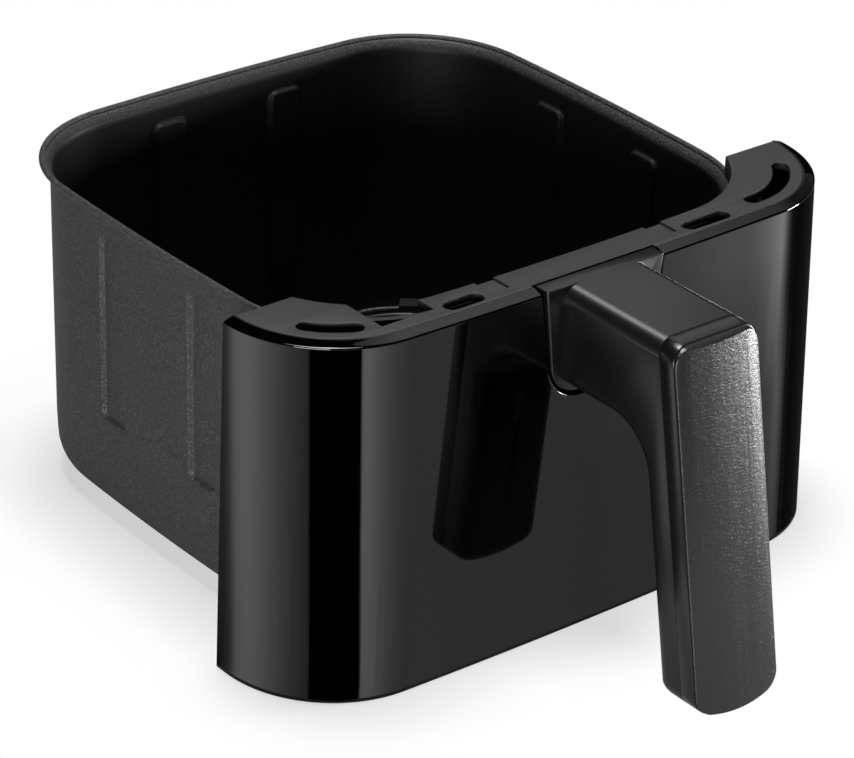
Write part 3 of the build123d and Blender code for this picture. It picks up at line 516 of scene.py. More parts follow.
# ---------------------------------------------------------------- pan
FLOOR_RINGS = (0.0, 0.35, 0.7, 0.9)  # rings of the flat floor, as shares of its outline
FLARE_ROWS, SHADE_FADE_ROWS = 8, 1.5  # rows from the rim's top down its flare, then those over which the painted shade inside the pan fades in
RIM_FLARE = ((0.55, 0.12), (0.0, -0.15), (-0.5, -0.65))  # points of the flare's bend, in millimetres


def pan_profile(s):
    """Half section of the pan from the middle of its underside, over the rim, to the middle of its
    floor. A row holds its scale, its offset from the plain wall at the top, its height, and how far a
    pressed rib moves it."""
    levels = rib_levels(s)
    bend = -s.draft - s.floor_radius
    bead_x, bead_z = s.rim_reach - s.rim_bead, s.height + s.rim_rise
    flare_x, flare_z = s.rim_flare - s.wall, bead_z - s.rim_bead / 4
    outer = arc_points(bend, s.floor_radius, s.floor_radius, -90, 0, 10)
    bead = [(-s.draft * 0.3 * MM / s.height, s.height - 0.3 * MM, 1.0)]
    bead += [(0.15 * MM, s.height + 0.05 * MM, 0.0)]
    bead += [(x, z, 0.0) for x, z in arc_points(bead_x, bead_z, s.rim_bead, -95, 165, 16)]
    flare = [(flare_x + x * MM, flare_z + z * MM, 0.0) for x, z in RIM_FLARE]
    flare += [(0.35 * MM - s.wall, s.height + 0.4 * MM, 0.0)]
    flare += [(-0.02 * MM - s.wall, s.height - 0.5 * MM, 0.5)]
    inner = arc_points(bend, s.floor_radius, s.floor_radius - s.wall, 0, -90, 10)
    rows = [(x, z, 0.0) for x, z in outer] + [(-s.draft * (1 - z / s.height), z, 1.0) for z in levels]
    rows += bead + flare + [(-s.wall - s.draft * (1 - z / s.height), z, 1.0) for z in reversed(levels)]
    rows += [(x, z, 0.0) for x, z in inner]
    underside = [(scale, bend, 0.0, 0.0) for scale in FLOOR_RINGS]
    floor = [(scale, bend, s.wall, 0.0) for scale in reversed(FLOOR_RINGS)]
    return underside + [(1.0, *row) for row in rows] + floor


# Distances in millimetres from a rib's edge at which the mesh has a row or a column.
RIB_END_STEPS = (-1.6, -0.8, -0.3, 0.1, 0.5, 0.9, 1.3, 1.7, 2.3, 3.1, 4.2)
RIB_FLANK_STEPS = (-1.0, -0.4, 0.0, 0.35, 0.7, 1.05, 1.4, 1.8, 2.4, 3.2, 4.2)


def rib_levels(s):
    """Heights of the wall's rows, close together where the ribs end."""
    low = [s.rib_low + step * MM for step in RIB_END_STEPS]
    high = [s.rib_high - step * MM for step in reversed(RIB_END_STEPS)]
    between = [low[-1] + (high[0] - low[-1]) * i / 9 for i in range(1, 9)]
    return [26 * MM, 36 * MM] + low + between + high + [s.height - 2.2 * MM]


def rib_stations(s, reach):
    """Places along a wall from its middle, close together at the two flanks of a rib."""
    left = [s.rib_pitch / 2 - s.rib_width / 2 + step * MM for step in RIB_FLANK_STEPS]
    right = [s.rib_pitch / 2 + s.rib_width / 2 - step * MM for step in reversed(RIB_FLANK_STEPS)]
    rest = [right[-1] + (reach - right[-1]) * i / 3 for i in range(1, 3)]
    return [0.0, left[0] / 3, left[0] * 2 / 3] + left + [s.rib_pitch / 2] + right + rest


def rib_press(s, along, level):
    """How far in the sheet is pressed at a place of the wall: fully in a rib, with soft flanks."""
    half_w, half_h = s.rib_width / 2, (s.rib_high - s.rib_low) / 2
    dx = np.abs(np.abs(along) - s.rib_pitch / 2) - half_w + s.rib_corner
    dz = np.abs(level - (s.rib_high + s.rib_low) / 2) - half_h + s.rib_corner
    outside = np.hypot(np.maximum(dx, 0), np.maximum(dz, 0))
    distance = outside + np.minimum(np.maximum(dx, dz), 0) - s.rib_corner
    share_in = np.clip((0.25 * MM - distance) / (s.rib_slope + 0.45 * MM), 0, 1)
    return s.rib_depth * share_in * share_in * (3 - 2 * share_in)


def loop_stations(s, line):
    """t, and the signs of x and y, all the way round the pan."""
    fronts = np.concatenate([line.front_t(rib_stations(s, line.cx)), np.linspace(1, 2, 25)[:-1]])
    sides = line.side_t(rib_stations(s, line.cy))
    quarter = np.concatenate([fronts, [2.0], sides[::-1]])
    stations = []
    for sx, sy, turned in ((1, -1, False), (1, 1, True), (-1, 1, False), (-1, -1, True)):
        part = quarter[::-1] if turned else quarter
        stations += [(t, sx, sy) for t in part[:-1]]
    return stations


class DRAWER_OT_pan(bpy.types.Operator):
    """Makes the pan from one closed section led round its outline, with the ribs pressed in"""
    bl_idname = "drawer.pan"
    bl_label = "Pan"

    def execute(self, context):
        s = settings("pan")
        line = pan_line()
        t, sx, sy = (np.array(values) for values in zip(*loop_stations(s, line)))
        profile = pan_profile(s)
        rows = []
        for scale, offset, level, pressed in profile:
            x, y, nx, ny = line.quarter(t, offset)
            on_back = (t < 1) & (sy > 0)
            depth = np.where(on_back, rib_press(s, x, level), 0)
            depth = np.where(t > 2, rib_press(s, y, level), depth)
            x, y = scale * x - nx * depth * pressed, scale * y - ny * depth * pressed
            rows.append(np.stack([sx * x, sy * y, np.full_like(x, level)], 1))
        mesh = plain_mesh("pan_loft", np.concatenate(rows), grid_faces(len(rows), len(t), wrap=True))
        # Painted shade inside the pan: each row's share of it, starting past the rim's flare
        rim_top = max(range(len(profile)), key=lambda i: profile[i][2])
        painted_shade_share = np.clip((np.arange(len(rows)) - rim_top - FLARE_ROWS) / SHADE_FADE_ROWS, 0, 1)
        inside = mesh.attributes.new("inside", "FLOAT", "POINT")
        inside.data.foreach_set("value", np.repeat(painted_shade_share, len(t)))
        piece = solid_piece("pan_pressed", merged([mesh]), "nonstick_steel", PRESSED_ANGLE)
        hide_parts("pan")
        return {"FINISHED"}


# ---------------------------------------------------------------- front panel
class PanelSurface:
    """The panel's outer face, ruled between its outlines at the floor and the top, and its offsets."""

    def __init__(self):
        self.sizes = settings("panel")
        self.top, self.foot = panel_lines()

    def point(self, t, z, inset):
        """Points of the right half, y counted towards the front."""
        t, z, inset = spread_out(t, z, inset)
        rise = np.clip(z / self.sizes.height, 0, 1)
        x1, y1, _, _ = self.top.quarter(t, -inset)
        x0, y0, _, _ = self.foot.quarter(t, -inset)
        return x0 + (x1 - x0) * rise, y0 + (y1 - y0) * rise

    def t_where(self, goal, z, inset, across):
        """t of the point whose x (across) or y has a given value, by halving."""
        goal, z, inset = spread_out(goal, z, inset)
        low, high = np.zeros(goal.shape), np.full(goal.shape, 1.0 if across else 3.0)
        for _ in range(40):
            middle = (low + high) / 2
            x, y = self.point(middle, z, inset)
            short = x < goal if across else y > goal
            low, high = np.where(short, middle, low), np.where(short, high, middle)
        return (low + high) / 2

    def front_point(self, x, z, inset):
        """Point of the front at a given x, as world coordinates."""
        t = self.t_where(np.abs(x), z, inset, True)
        _, y = self.point(t, z, inset)
        return np.stack(np.broadcast_arrays(x, -y, z), -1)


# Rounded edges of the panel's section, as height and inset in millimetres: one from the top of the
# face, the other from the inner end of the sloping band.
FACE_EDGE = ((-0.75, 0.0), (-0.45, 0.0), (-0.2, 0.04), (0.02, 0.2), (0.14, 0.45), (0.24, 0.75))
BAND_EDGE = ((-0.10, -0.38), (-0.09, -0.2), (-0.16, -0.07), (-0.32, 0.0))


def panel_section(s):
    """Closed section of the panel in four stretches of height and inset: up its outer face, over the
    sloping band, down the lip and down the inner face."""
    edge, low = s.edge, s.height - s.band_depth
    foot = s.lift + edge
    outer = [(foot - edge * math.cos(a), edge - edge * math.sin(a)) for a in np.radians((0, 30, 60, 90))]
    outer += [(foot + 0.3 * MM, 0.0)]
    outer += [(s.lift + 1 * MM + (s.height - 2 * MM) * i / 14, 0.0) for i in range(1, 14)]
    outer += [(s.height + z * MM, inset * MM) for z, inset in FACE_EDGE]
    band = [(s.height + s.band_rise * w, s.band_width * w) for w in (0.35, 0.6, 0.85)]
    band += [(s.height + s.band_rise + z * MM, s.band_width + inset * MM) for z, inset in BAND_EDGE]
    lip = [(low, s.band_width), (low, s.wall)]
    inner = [(low - 4 * MM, s.wall), (s.height / 2, s.wall), (foot, s.wall),
             (s.lift + edge * 0.3, s.wall - edge * 0.3), (s.lift, s.wall - edge)]
    return outer, band, lip, inner


def mount_lean():
    """How far the mount's sides lean from upright."""
    s, p = settings("mount"), settings("panel")
    return math.atan2(s.half_top - s.half_low, p.height + p.band_rise - s.low)


def mount_half(z, grow=0.0):
    """Half width of the mount's outline above its round corners."""
    s, lean = settings("mount"), mount_lean()
    return s.half_low + (z - s.low) * math.tan(lean) + grow / math.cos(lean)


def mount_path(grow, top, side_steps, floor_steps):
    """The mount's outline, grown, from its upper left end down and round to the upper right end."""
    s, lean = settings("mount"), mount_lean()
    low, radius = s.low - grow, s.corner + grow
    centre_z = low + radius
    centre_x = mount_half(centre_z, grow) - radius / math.cos(lean)
    half_turn = (math.pi / 2 - lean) / 2

    def corner(angle):
        return centre_x + radius * math.cos(angle), centre_z - radius * math.sin(angle)

    upper, lower = side_steps // 2, floor_steps // 4
    straight, flat = side_steps - upper, floor_steps // 2 - lower
    right = [(centre_x * i / flat, low) for i in range(flat)]
    right += [corner(math.pi / 2 - half_turn * i / lower) for i in range(lower)]
    right += [corner(lean + half_turn * (1 - i / upper)) for i in range(upper + 1)]
    start = corner(lean)[1]
    heights = [start + (top - start) * i / straight for i in range(1, straight + 1)]
    right += [(mount_half(z, grow), z) for z in heights]
    return [(-x, z) for x, z in reversed(right[1:])] + right


# The middle part of the panel, which holds the mount's opening, and how the mesh runs there.
MIDDLE_HALF, MIDDLE_LOW = 40 * MM, 84 * MM
MIDDLE_COLUMNS = 25
EDGE_ROWS = 6  # rows of the rounded edge above the panel's face
RING_SHARES = (0.0, 0.03, 0.1, 0.22, 0.4, 0.65, 1.0)  # rings of points from the opening to the border
# The opening's rounded edge, as growth and inset in millimetres.
OPENING_EDGE = ((0.4, 0.0), (0.2, 0.05), (0.06, 0.18), (0.0, 0.4), (0.0, 1.6))


class Shell:
    """Points and faces of a shell, gathered from grids and caps."""

    def __init__(self, surface):
        self.surface = surface
        self.points, self.faces = [], []

    def add_grid(self, block):
        """Rows of points, as quads."""
        self.faces.extend(grid_faces(len(block), len(block[0]), len(self.points)))
        self.points.extend(point for row in block for point in row)

    def add_cap(self, points):
        start = len(self.points)
        self.points.extend(points)
        self.faces.append(range(start, len(self.points)))

    def add_front(self, rows):
        """A grid on the panel's front from rows of x, height and inset."""
        self.add_grid([self.surface.front_point(*row) for row in rows])


def add_wings(shell, section):
    """The panel from its middle part round its corners to its ends."""
    surface = shell.surface
    z, inset = np.array(section + section[:1]).T[:, :, None]
    t_middle = surface.t_where(MIDDLE_HALF, z, inset, True)
    t_end = surface.t_where(surface.sizes.back, z, inset, False)
    flat, bend = np.linspace(0, 1, 11), np.linspace(0, 1, 45)[1:]
    t = np.hstack([t_middle + (1 - t_middle) * flat, 1 + (t_end - 1) * bend])
    x, y = surface.point(t, z, inset)
    for side in (-1, 1):
        wing = np.stack([side * x, -y, np.broadcast_to(z, x.shape)], -1)
        shell.add_grid(wing)
        shell.add_cap(wing[:-1, -1])


def add_middle(shell, outer, band, lip, inner):
    """The panel's middle part, with the opening that the mount passes through."""
    surface, s = shell.surface, shell.surface.sizes
    face_top, inner_top = outer[-EDGE_ROWS][0], inner[0][0]
    columns = np.linspace(-MIDDLE_HALF, MIDDLE_HALF, MIDDLE_COLUMNS)
    levels = [MIDDLE_LOW] + [z for z, _ in outer if MIDDLE_LOW < z <= face_top]
    border = [(-MIDDLE_HALF, z) for z in reversed(levels)] + [(x, MIDDLE_LOW) for x in columns[1:-1]]
    border = np.array(border + [(MIDDLE_HALF, z) for z in levels])

    def opening(grow):
        return np.array(mount_path(s.gap + grow, face_top, len(levels) - 1, MIDDLE_COLUMNS - 1))

    lower = [row for row in outer if row[0] <= MIDDLE_LOW] + [(MIDDLE_LOW, 0.0)]
    shell.add_front([(columns, *row) for row in lower])
    hole = opening(OPENING_EDGE[0][0] * MM)
    rings = [hole + (border - hole) * ring for ring in RING_SHARES]
    shell.add_front([(*ring.T, 0.0) for ring in rings])
    edge = [(*opening(grow * MM).T, inset * MM) for grow, inset in OPENING_EDGE]
    shell.add_front(edge + [(*opening(0.0).T, s.wall)])
    for end, side in ((0, -1), (-1, 1)):
        across = np.abs([ring[end, 0] for ring in rings])
        block = []
        for level, inset in outer[-EDGE_ROWS:] + band + lip:
            t = surface.t_where(across, min(level, s.height), inset, True)
            x, y = surface.point(t, level, inset)
            block.append(np.stack([side * x, -y, np.full_like(x, level)], -1))
        shell.add_grid(block)
        corner = surface.front_point(side * across[:1], face_top, s.wall)
        shell.add_cap([row[0] for row in block] + [corner[0]])
    shell.add_front([(columns, *row) for row in [(MIDDLE_LOW, s.wall)] + inner[1:] + outer[:1]])
    back = [np.minimum(path, (np.inf, inner_top)) for path in (opening(0.0), border)]
    shell.add_front([(*path.T, s.wall) for path in back])


class DRAWER_OT_front_panel(bpy.types.Operator):
    """Makes the glossy front panel with its sloping band and the opening for the handle's mount"""
    bl_idname = "drawer.front_panel"
    bl_label = "Front panel"

    def execute(self, context):
        parts = panel_section(settings("panel"))
        shell = Shell(PanelSurface())
        add_wings(shell, sum(parts, []))
        add_middle(shell, *parts)
        solid = merged([plain_mesh("panel_shell", shell.points, shell.faces)], 2 * MICRON)
        piece = solid_piece("panel_moulding", solid, "gloss_panel", MOULDED_ANGLE)
        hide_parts("front_panel")
        return {"FINISHED"}


# ---------------------------------------------------------------- top bezel
def plan_mesh(name, loops, low, high, bevel):
    """Flat plate from closed loops of plan points, with its upper and lower edges rounded."""
    outline = bpy.data.curves.new(name, "CURVE")
    outline.dimensions = "2D"
    outline.fill_mode = "BOTH"
    for loop in loops:
        spline = outline.splines.new("POLY")
        spline.points.add(len(loop) - 1)
        for point, (x, y) in zip(spline.points, loop):
            point.co = (x, y, 0.0, 1.0)
        spline.use_cyclic_u = True
    outline.extrude = (high - low) / 2 - bevel
    outline.bevel_depth = bevel
    outline.bevel_resolution = 2
    outline.offset = -bevel
    mesh = taken_mesh(add_object(name, outline))
    mesh.transform(Matrix.Translation((0, 0, (high + low) / 2)))
    return mesh


class DrawerBezelSizes(bpy.types.PropertyGroup):
    plate: length("Thickness of the bezel's plate", "Plate", 3.0)
    gap: length("Gap between bezel and band", "Gap", 0.15)
    cover: length("Inner edge, beyond the pan's plain wall", "Cover", 1.3)
    back: length("Where its ends stop, ahead of the pan's centre", "Back", 75.5)
    skirt: length("Thickness of the skirt over the pan's rim", "Skirt", 1.8)
    slot_width: length("Width of the slots", "Slot width", 6.6)
    slot_line: length("Middle of the straight slots, ahead of the pan's centre", "Slot line", 112.0)
    slot_inset: length("Middle of the corner slots, inside the panel's face", "Slot inset", 12.6)
    notch_from: length("Outer end of the locating notch", "Notch from", 90.0)
    notch_to: length("Inner end of the locating notch", "Notch to", 67.5)
    notch_line: length("Front of the locating notch", "Notch line", 110.5)
    pocket_from: length("Inner end of the shallow pockets", "Pocket from", 35.0)
    pocket_to: length("Outer end of the shallow pockets", "Pocket to", 43.5)
    pocket_line: length("Front of the shallow pockets", "Pocket line", 112.5)
    pocket_depth: length("Depth of the shallow pockets", "Pocket depth", 1.6)
    edge: length("Rounding of the bezel's edges", "Edge", 0.3)
    mount_back: length("Back of the handle's mount", "Mount back", 117.2)


def half_path(line, offset, t_from, t_to, steps):
    """Plan points of the right front quarter of an outline, y negative."""
    x, y, _, _ = line.quarter(np.linspace(t_from, t_to, steps), offset)
    return list(zip(x, -y))


def bezel_loop(with_pockets):
    """The bezel's edge, from its left end along the panel to the right end and back along the pan."""
    s, p = settings("bezel"), settings("panel")
    top, _ = panel_lines()
    pan = pan_line()
    reach = -p.band_width - s.gap
    back_t = PanelSurface().t_where(s.back, p.height, p.band_width + s.gap, False)
    mount = mount_half(p.height + p.band_rise, p.gap)
    outer = half_path(top, reach, top.front_t(mount, reach), 1.0, 14)[:-1]
    outer += half_path(top, reach, 1.0, float(back_t), 40)
    front = [(-x, y) for x, y in reversed(outer)]
    front += [(-mount, -s.mount_back + p.gap), (mount, -s.mount_back + p.gap)] + outer
    end_t = pan.corner_end_t(s.back, s.cover)

    def along_pan(x):
        """t on the pan's side of the bezel where x has a value."""
        return float(pan.front_t(x, s.cover) if x < pan.cx else pan.corner_t(x, s.cover))

    def inner(stops, line_y):
        """Half of the inner edge from the middle outwards, with a step cut between two places."""
        if not stops:
            return half_path(pan, s.cover, 0.0, 1.0, 12)[:-1] + half_path(pan, s.cover, 1.0, end_t, 30)
        first, second = (along_pan(x) for x in stops)
        path = half_path(pan, s.cover, 0.0, min(first, 1.0), 10)
        if first > 1.0:
            path += half_path(pan, s.cover, 1.0, first, 8)[1:]
        path += [(stops[0], -line_y), (stops[1], -line_y)]
        if second < 1.0:
            path += half_path(pan, s.cover, second, 1.0, 8)[:-1]
        return path + half_path(pan, s.cover, max(second, 1.0), end_t, 30)

    pockets = (s.pocket_from, s.pocket_to)
    right = inner(pockets if with_pockets else (), s.pocket_line)
    left = inner((s.notch_to, s.notch_from), s.notch_line)
    if with_pockets:
        first, second = (along_pan(x) for x in pockets)
        keep = [q for q in left if q[0] > s.pocket_to]
        left = half_path(pan, s.cover, 0.0, first, 8) + [(x, -s.pocket_line) for x in pockets]
        left += half_path(pan, s.cover, second, second, 1) + keep
    left = [(-x, y) for x, y in left]
    return front + list(reversed(right)) + left[1:]


# Corner slots: side, and the degrees from straight ahead between which the slot runs. Straight slots:
# the places across the drawer, in millimetres, between which the slot runs.
CORNER_SLOTS = ((1, 56.5, -1.0), (-1, 52.5, 23.0))
STRAIGHT_SLOTS = ((47, 69), (-64, -47))
SLOT_STEPS, SLOT_END_STEPS = 24, 10


def slot_loop(path, width):
    """Closed loop of a slot with round ends around a centre line."""
    path = [Vector(p) for p in path]
    left, right = [], []
    for i, point in enumerate(path):
        ahead = (path[min(i + 1, len(path) - 1)] - path[max(i - 1, 0)]).normalized()
        side = Vector((-ahead.y, ahead.x)) * width / 2
        left.append(point + side)
        right.append(point - side)

    def cap(centre, start):
        arm = start - centre
        turns = (-math.pi * i / SLOT_END_STEPS for i in range(1, SLOT_END_STEPS))
        return [centre + Matrix.Rotation(turn, 2) @ arm for turn in turns]

    loop = left + cap(path[-1], left[-1]) + list(reversed(right)) + cap(path[0], right[0])
    return [(p.x, p.y) for p in loop]


def bezel_slots():
    """Loops of the bezel's slots."""
    s, p = settings("bezel"), settings("panel")
    top, _ = panel_lines()
    radius = p.corner - s.slot_inset
    half = s.slot_width / 2
    loops = []
    for side, start, end in CORNER_SLOTS:
        angles = np.radians(np.linspace(start, end, SLOT_STEPS + 1))
        path = [(side * (top.cx + radius * np.sin(a)), -top.cy - radius * np.cos(a)) for a in angles]
        loops.append(slot_loop(path, s.slot_width))
    for low, high in STRAIGHT_SLOTS:
        ends = (low * MM + half, -s.slot_line), (high * MM - half, -s.slot_line)
        loops.append(slot_loop(ends, s.slot_width))
    return loops


class DRAWER_OT_top_bezel(bpy.types.Operator):
    """Makes the matte bezel with its slots, notch, pockets and skirt"""
    bl_idname = "drawer.top_bezel"
    bl_label = "Top bezel"

    def execute(self, context):
        s, p, q = settings("bezel"), settings("panel"), settings("pan")
        pan = pan_line()
        top = p.height + p.band_rise
        under, pocket_floor = top - s.plate, top - s.pocket_depth
        meshes = []
        for pockets, low, high, bevel in ((True, pocket_floor, top, s.edge),
                                          (False, under, pocket_floor + 0.5 * MM, s.edge / 2)):
            meshes.append(plan_mesh("plate", [bezel_loop(pockets)] + bezel_slots(), low, high, bevel))
        skirt_low = q.height + q.rim_rise + q.rim_bead + 0.3 * MM
        inner_end = pan.corner_end_t(s.back, s.cover)
        outer_end = pan.corner_end_t(s.back, s.cover + s.skirt)
        notch_to = float(pan.corner_t(s.notch_to - s.skirt, s.cover))
        notch_from = float(pan.corner_t(s.notch_from + s.skirt, s.cover))
        for side, start, end, steps in ((1, 0.0, inner_end, 50), (-1, 0.0, notch_to, 40),
                                        (-1, notch_from, inner_end, 12)):
            inner = half_path(pan, s.cover, start, end, steps)
            outer = half_path(pan, s.cover + s.skirt, start, min(end, outer_end), steps)
            loop = [(side * x, y) for x, y in inner + outer[::-1]]
            meshes.append(plan_mesh("skirt", [loop], skirt_low, under + 0.4 * MM, 0.15 * MM))
        piece = solid_piece("bezel_moulding", merged(meshes), "matte_bezel")
        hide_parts("top_bezel")
        return {"FINISHED"}


# ---------------------------------------------------------------- handle
class DrawerHandleSizes(bpy.types.PropertyGroup):
    seam: length("Rounding of the edges that meet along the handle's seams", "Seam edge", 0.3)
    insert_edge: length("Rounding of the edges of the grip's insert", "Insert edge", 0.25)
    half_width: length("Half the grip's width", "Half width", 19.6)
    low: length("Lower end of the grip above the surface", "Low", 2.6)
    end_height: length("Height of the end that is rounded across its width", "End", 15.0)
    end_crown: length("How much shorter the grip is at its sides than in the middle", "Crown", 3.6)
    end_steps: IntProperty(name="End steps", description="Strips across the grip's width", default=18)
    lean: FloatProperty(name="Lean", description="How far the grip leans forward on its way down",
                        default=math.radians(10.9), subtype="ANGLE")


FLAT_ANGLE = 0.4  # degrees between faces under which they count as one flat face


def solid_copy(node):
    """A copy of a CAD node's surface with its triangles merged and flat faces made whole."""
    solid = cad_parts[node]
    source = solid.data
    points = [solid.matrix_world @ v.co for v in source.vertices]
    surface = plain_mesh(node + "_copy", points, [p.vertices for p in source.polygons])
    copy = merged([surface], 2 * MICRON)
    bmesh.ops.dissolve_degenerate(copy, edges=copy.edges, dist=2 * MICRON)
    bmesh.ops.recalc_face_normals(copy, faces=copy.faces)
    bmesh.ops.dissolve_limit(copy, angle_limit=math.radians(FLAT_ANGLE), verts=copy.verts,
                             edges=copy.edges)
    return copy


def crown_end(copy):
    """Rounds the grip's lower end across its width."""
    s = settings("handle")
    for i in range(1, s.end_steps):
        x = s.half_width * (2 * i / s.end_steps - 1)
        everything = copy.verts[:] + copy.edges[:] + copy.faces[:]
        bmesh.ops.bisect_plane(copy, geom=everything, plane_co=(x, 0, 0), plane_no=(1, 0, 0),
                               dist=MICRON)
    up = Vector((0, math.sin(s.lean), math.cos(s.lean)))
    for vertex in copy.verts:
        near = 1 - (vertex.co.z - s.low) / s.end_height
        if near > 0:
            across = min(abs(vertex.co.x) / s.half_width, 1.0)
            vertex.co += up * (s.end_crown * across ** 2 * min(near, 1.0))


def soften(copy, width):
    """Rounds the sharp edges, so that they catch light and leave a groove where pieces meet."""
    sharp = math.radians(SHARP_ANGLE)
    edges = [edge for edge in copy.edges
             if len(edge.link_faces) == 2 and edge.calc_face_angle(0.0) > sharp]
    bmesh.ops.bevel(copy, geom=edges, offset=width, offset_type="OFFSET", segments=2, profile=0.5,
                    affect="EDGES", clamp_overlap=False, miter_outer="SHARP")


class DRAWER_OT_handle(bpy.types.Operator):
    """Handle: upper and lower shell, grip frame and insert, with a fine groove along each seam"""
    bl_idname = "drawer.handle"
    bl_label = "Handle"

    def execute(self, context):
        s = settings("handle")
        for node, name, slot, width in (
            ("handle_upper_shell", "upper_shell_moulding", "satin_handle", s.seam),
            ("handle_lower_shell", "handle_lower_shell_moulding", "satin_handle", s.seam),
            ("grip_frame", "grip_frame_moulding", "smooth_grip", s.seam),
            ("grip_insert", "grip_insert_moulding", "textured_grip", s.insert_edge),
        ):
            copy = solid_copy(node)
            if node != "handle_upper_shell":
                crown_end(copy)
            soften(copy, width)
            piece = solid_piece(name, copy, slot, MOULDED_ANGLE)
            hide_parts(node)
        return {"FINISHED"}


# ---------------------------------------------------------------- geometry node trees
class Grower:
    """A geometry node tree under construction, with named inputs for its sizes."""

    def __init__(self, name, sizes):
        self.tree = bpy.data.node_groups.new(name, "GeometryNodeTree")
        face = self.tree.interface
        face.new_socket(name="Geometry", in_out="INPUT", socket_type="NodeSocketGeometry")
        face.new_socket(name="Material", in_out="INPUT", socket_type="NodeSocketMaterial")
        for size_name, value in sizes.items():
            kind = "NodeSocketInt" if isinstance(value, int) else "NodeSocketFloat"
            face.new_socket(name=size_name, in_out="INPUT", socket_type=kind).default_value = value
        face.new_socket(name="Geometry", in_out="OUTPUT", socket_type="NodeSocketGeometry")
        self.ins = self.tree.nodes.new("NodeGroupInput").outputs
        self.outs = self.tree.nodes.new("NodeGroupOutput").inputs

    def put(self, kind, inputs=None, **options):
        return put(self.tree, kind, inputs, **options)

    def maths(self, operation, a, b):
        return maths(self.tree, operation, a, b)

    def times(self, a, b):
        return self.maths("MULTIPLY", a, b)

    def vector(self, x=0.0, y=0.0, z=0.0):
        return self.put("ShaderNodeCombineXYZ", {0: x, 1: y, 2: z})

    def moved(self, geometry, **places):
        return self.put("GeometryNodeTransform", {"Geometry": geometry, **places})

    def cylinder(self, radius, depth, middle, corners):
        """A cylinder along Z with its middle at a height."""
        sizes = {"Vertices": corners, "Radius": radius, "Depth": depth}
        body = self.put("GeometryNodeMeshCylinder", sizes)
        return self.moved(body, Translation=self.vector(z=middle))

    def dome(self, radius, height, corners):
        """A flat-bottomed dome that rises towards -Z."""
        ball = self.put("GeometryNodeMeshUVSphere", {"Segments": corners, "Rings": 16, "Radius": 1.0})
        wide = self.times(radius, 1.2)
        ball = self.moved(ball, Scale=self.vector(wide, wide, height))
        half = self.times(height, -0.5)
        return self.combine("INTERSECT", ball, self.cylinder(radius, height, half, corners))

    def combine(self, operation, first, *others):
        """Union or intersection of bodies, or the first without the others."""
        node = add_node(self.tree, "GeometryNodeMeshBoolean", operation=operation, solver="MANIFOLD")
        join(self.tree, first, node.inputs["Mesh 1" if operation == "DIFFERENCE" else "Mesh 2"])
        for other in others:
            join(self.tree, other, node.inputs["Mesh 2"])
        return node.outputs[0]

    def scatter(self, item):
        """One item on every point, its Z axis along the point's axis."""
        axis = self.put("GeometryNodeInputNamedAttribute", {"Name": "axis"}, data_type="FLOAT_VECTOR")
        turn = self.put("FunctionNodeAlignRotationToVector", {"Vector": axis}, axis="Z")
        return self.put("GeometryNodeInstanceOnPoints",
                        {"Points": self.ins["Geometry"], "Instance": item, "Rotation": turn})

    def finish(self, geometry):
        whole = self.put("GeometryNodeRealizeInstances", {"Geometry": geometry})
        material = self.ins["Material"]
        dressed = self.put("GeometryNodeSetMaterial", {"Geometry": whole, "Material": material})
        join(self.tree, dressed, self.outs["Geometry"])
        return self.tree


def grown(name, tree, seats, axis, sizes, node):
    """Runs a tree on its seats and turns the result into a piece that stands in for a node."""
    seed = plain_mesh(name + "_seed", seats, [])
    axes = seed.attributes.new("axis", "FLOAT_VECTOR", "POINT")
    axes.data.foreach_set("vector", list(axis) * len(seats))
    holder = add_object(name + "_seed", seed)
    modifier = holder.modifiers.new("grow", "NODES")
    modifier.node_group = tree
    for socket in tree.interface.items_tree:
        if socket.socket_type == "NodeSocketMaterial":
            modifier[socket.identifier] = finish_of("zinc_steel")
        elif socket.in_out == "INPUT" and socket.name in sizes:
            modifier[socket.identifier] = sizes[socket.name]
    holder.update_tag()
    mesh = taken_mesh(holder)
    bpy.data.meshes.remove(seed)
    mesh.name = name
    piece = place_piece(name, mesh, "zinc_steel")
    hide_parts(node)


# ---------------------------------------------------------------- fasteners
class DrawerFastenerSizes(bpy.types.PropertyGroup):
    machine: length("Shank of the handle's machine screws", "Machine screw", 4.0)
    machine_head: length("Head of the handle's machine screws", "Machine head", 7.5)
    machine_head_height: length("Height of that head", "Machine head height", 2.4)
    small: length("Shank of the thread-forming screws", "Small screw", 3.0)
    small_head: length("Head of the thread-forming screws", "Small head", 5.6)
    small_head_height: length("Height of that head", "Small head height", 2.0)
    drive_width: length("Width of the cross recess", "Drive width", 0.9)
    drive_depth: length("Depth of the cross recess", "Drive depth", 1.1)
    rivet: length("Shank of the bracket's rivets", "Rivet", 4.0)
    rivet_head: length("Head of the bracket's rivets", "Rivet head", 8.0)
    rivet_head_height: length("Height of that head", "Rivet head height", 1.3)
    nut: length("Width of the weld nuts across their flats", "Nut", 7.0)


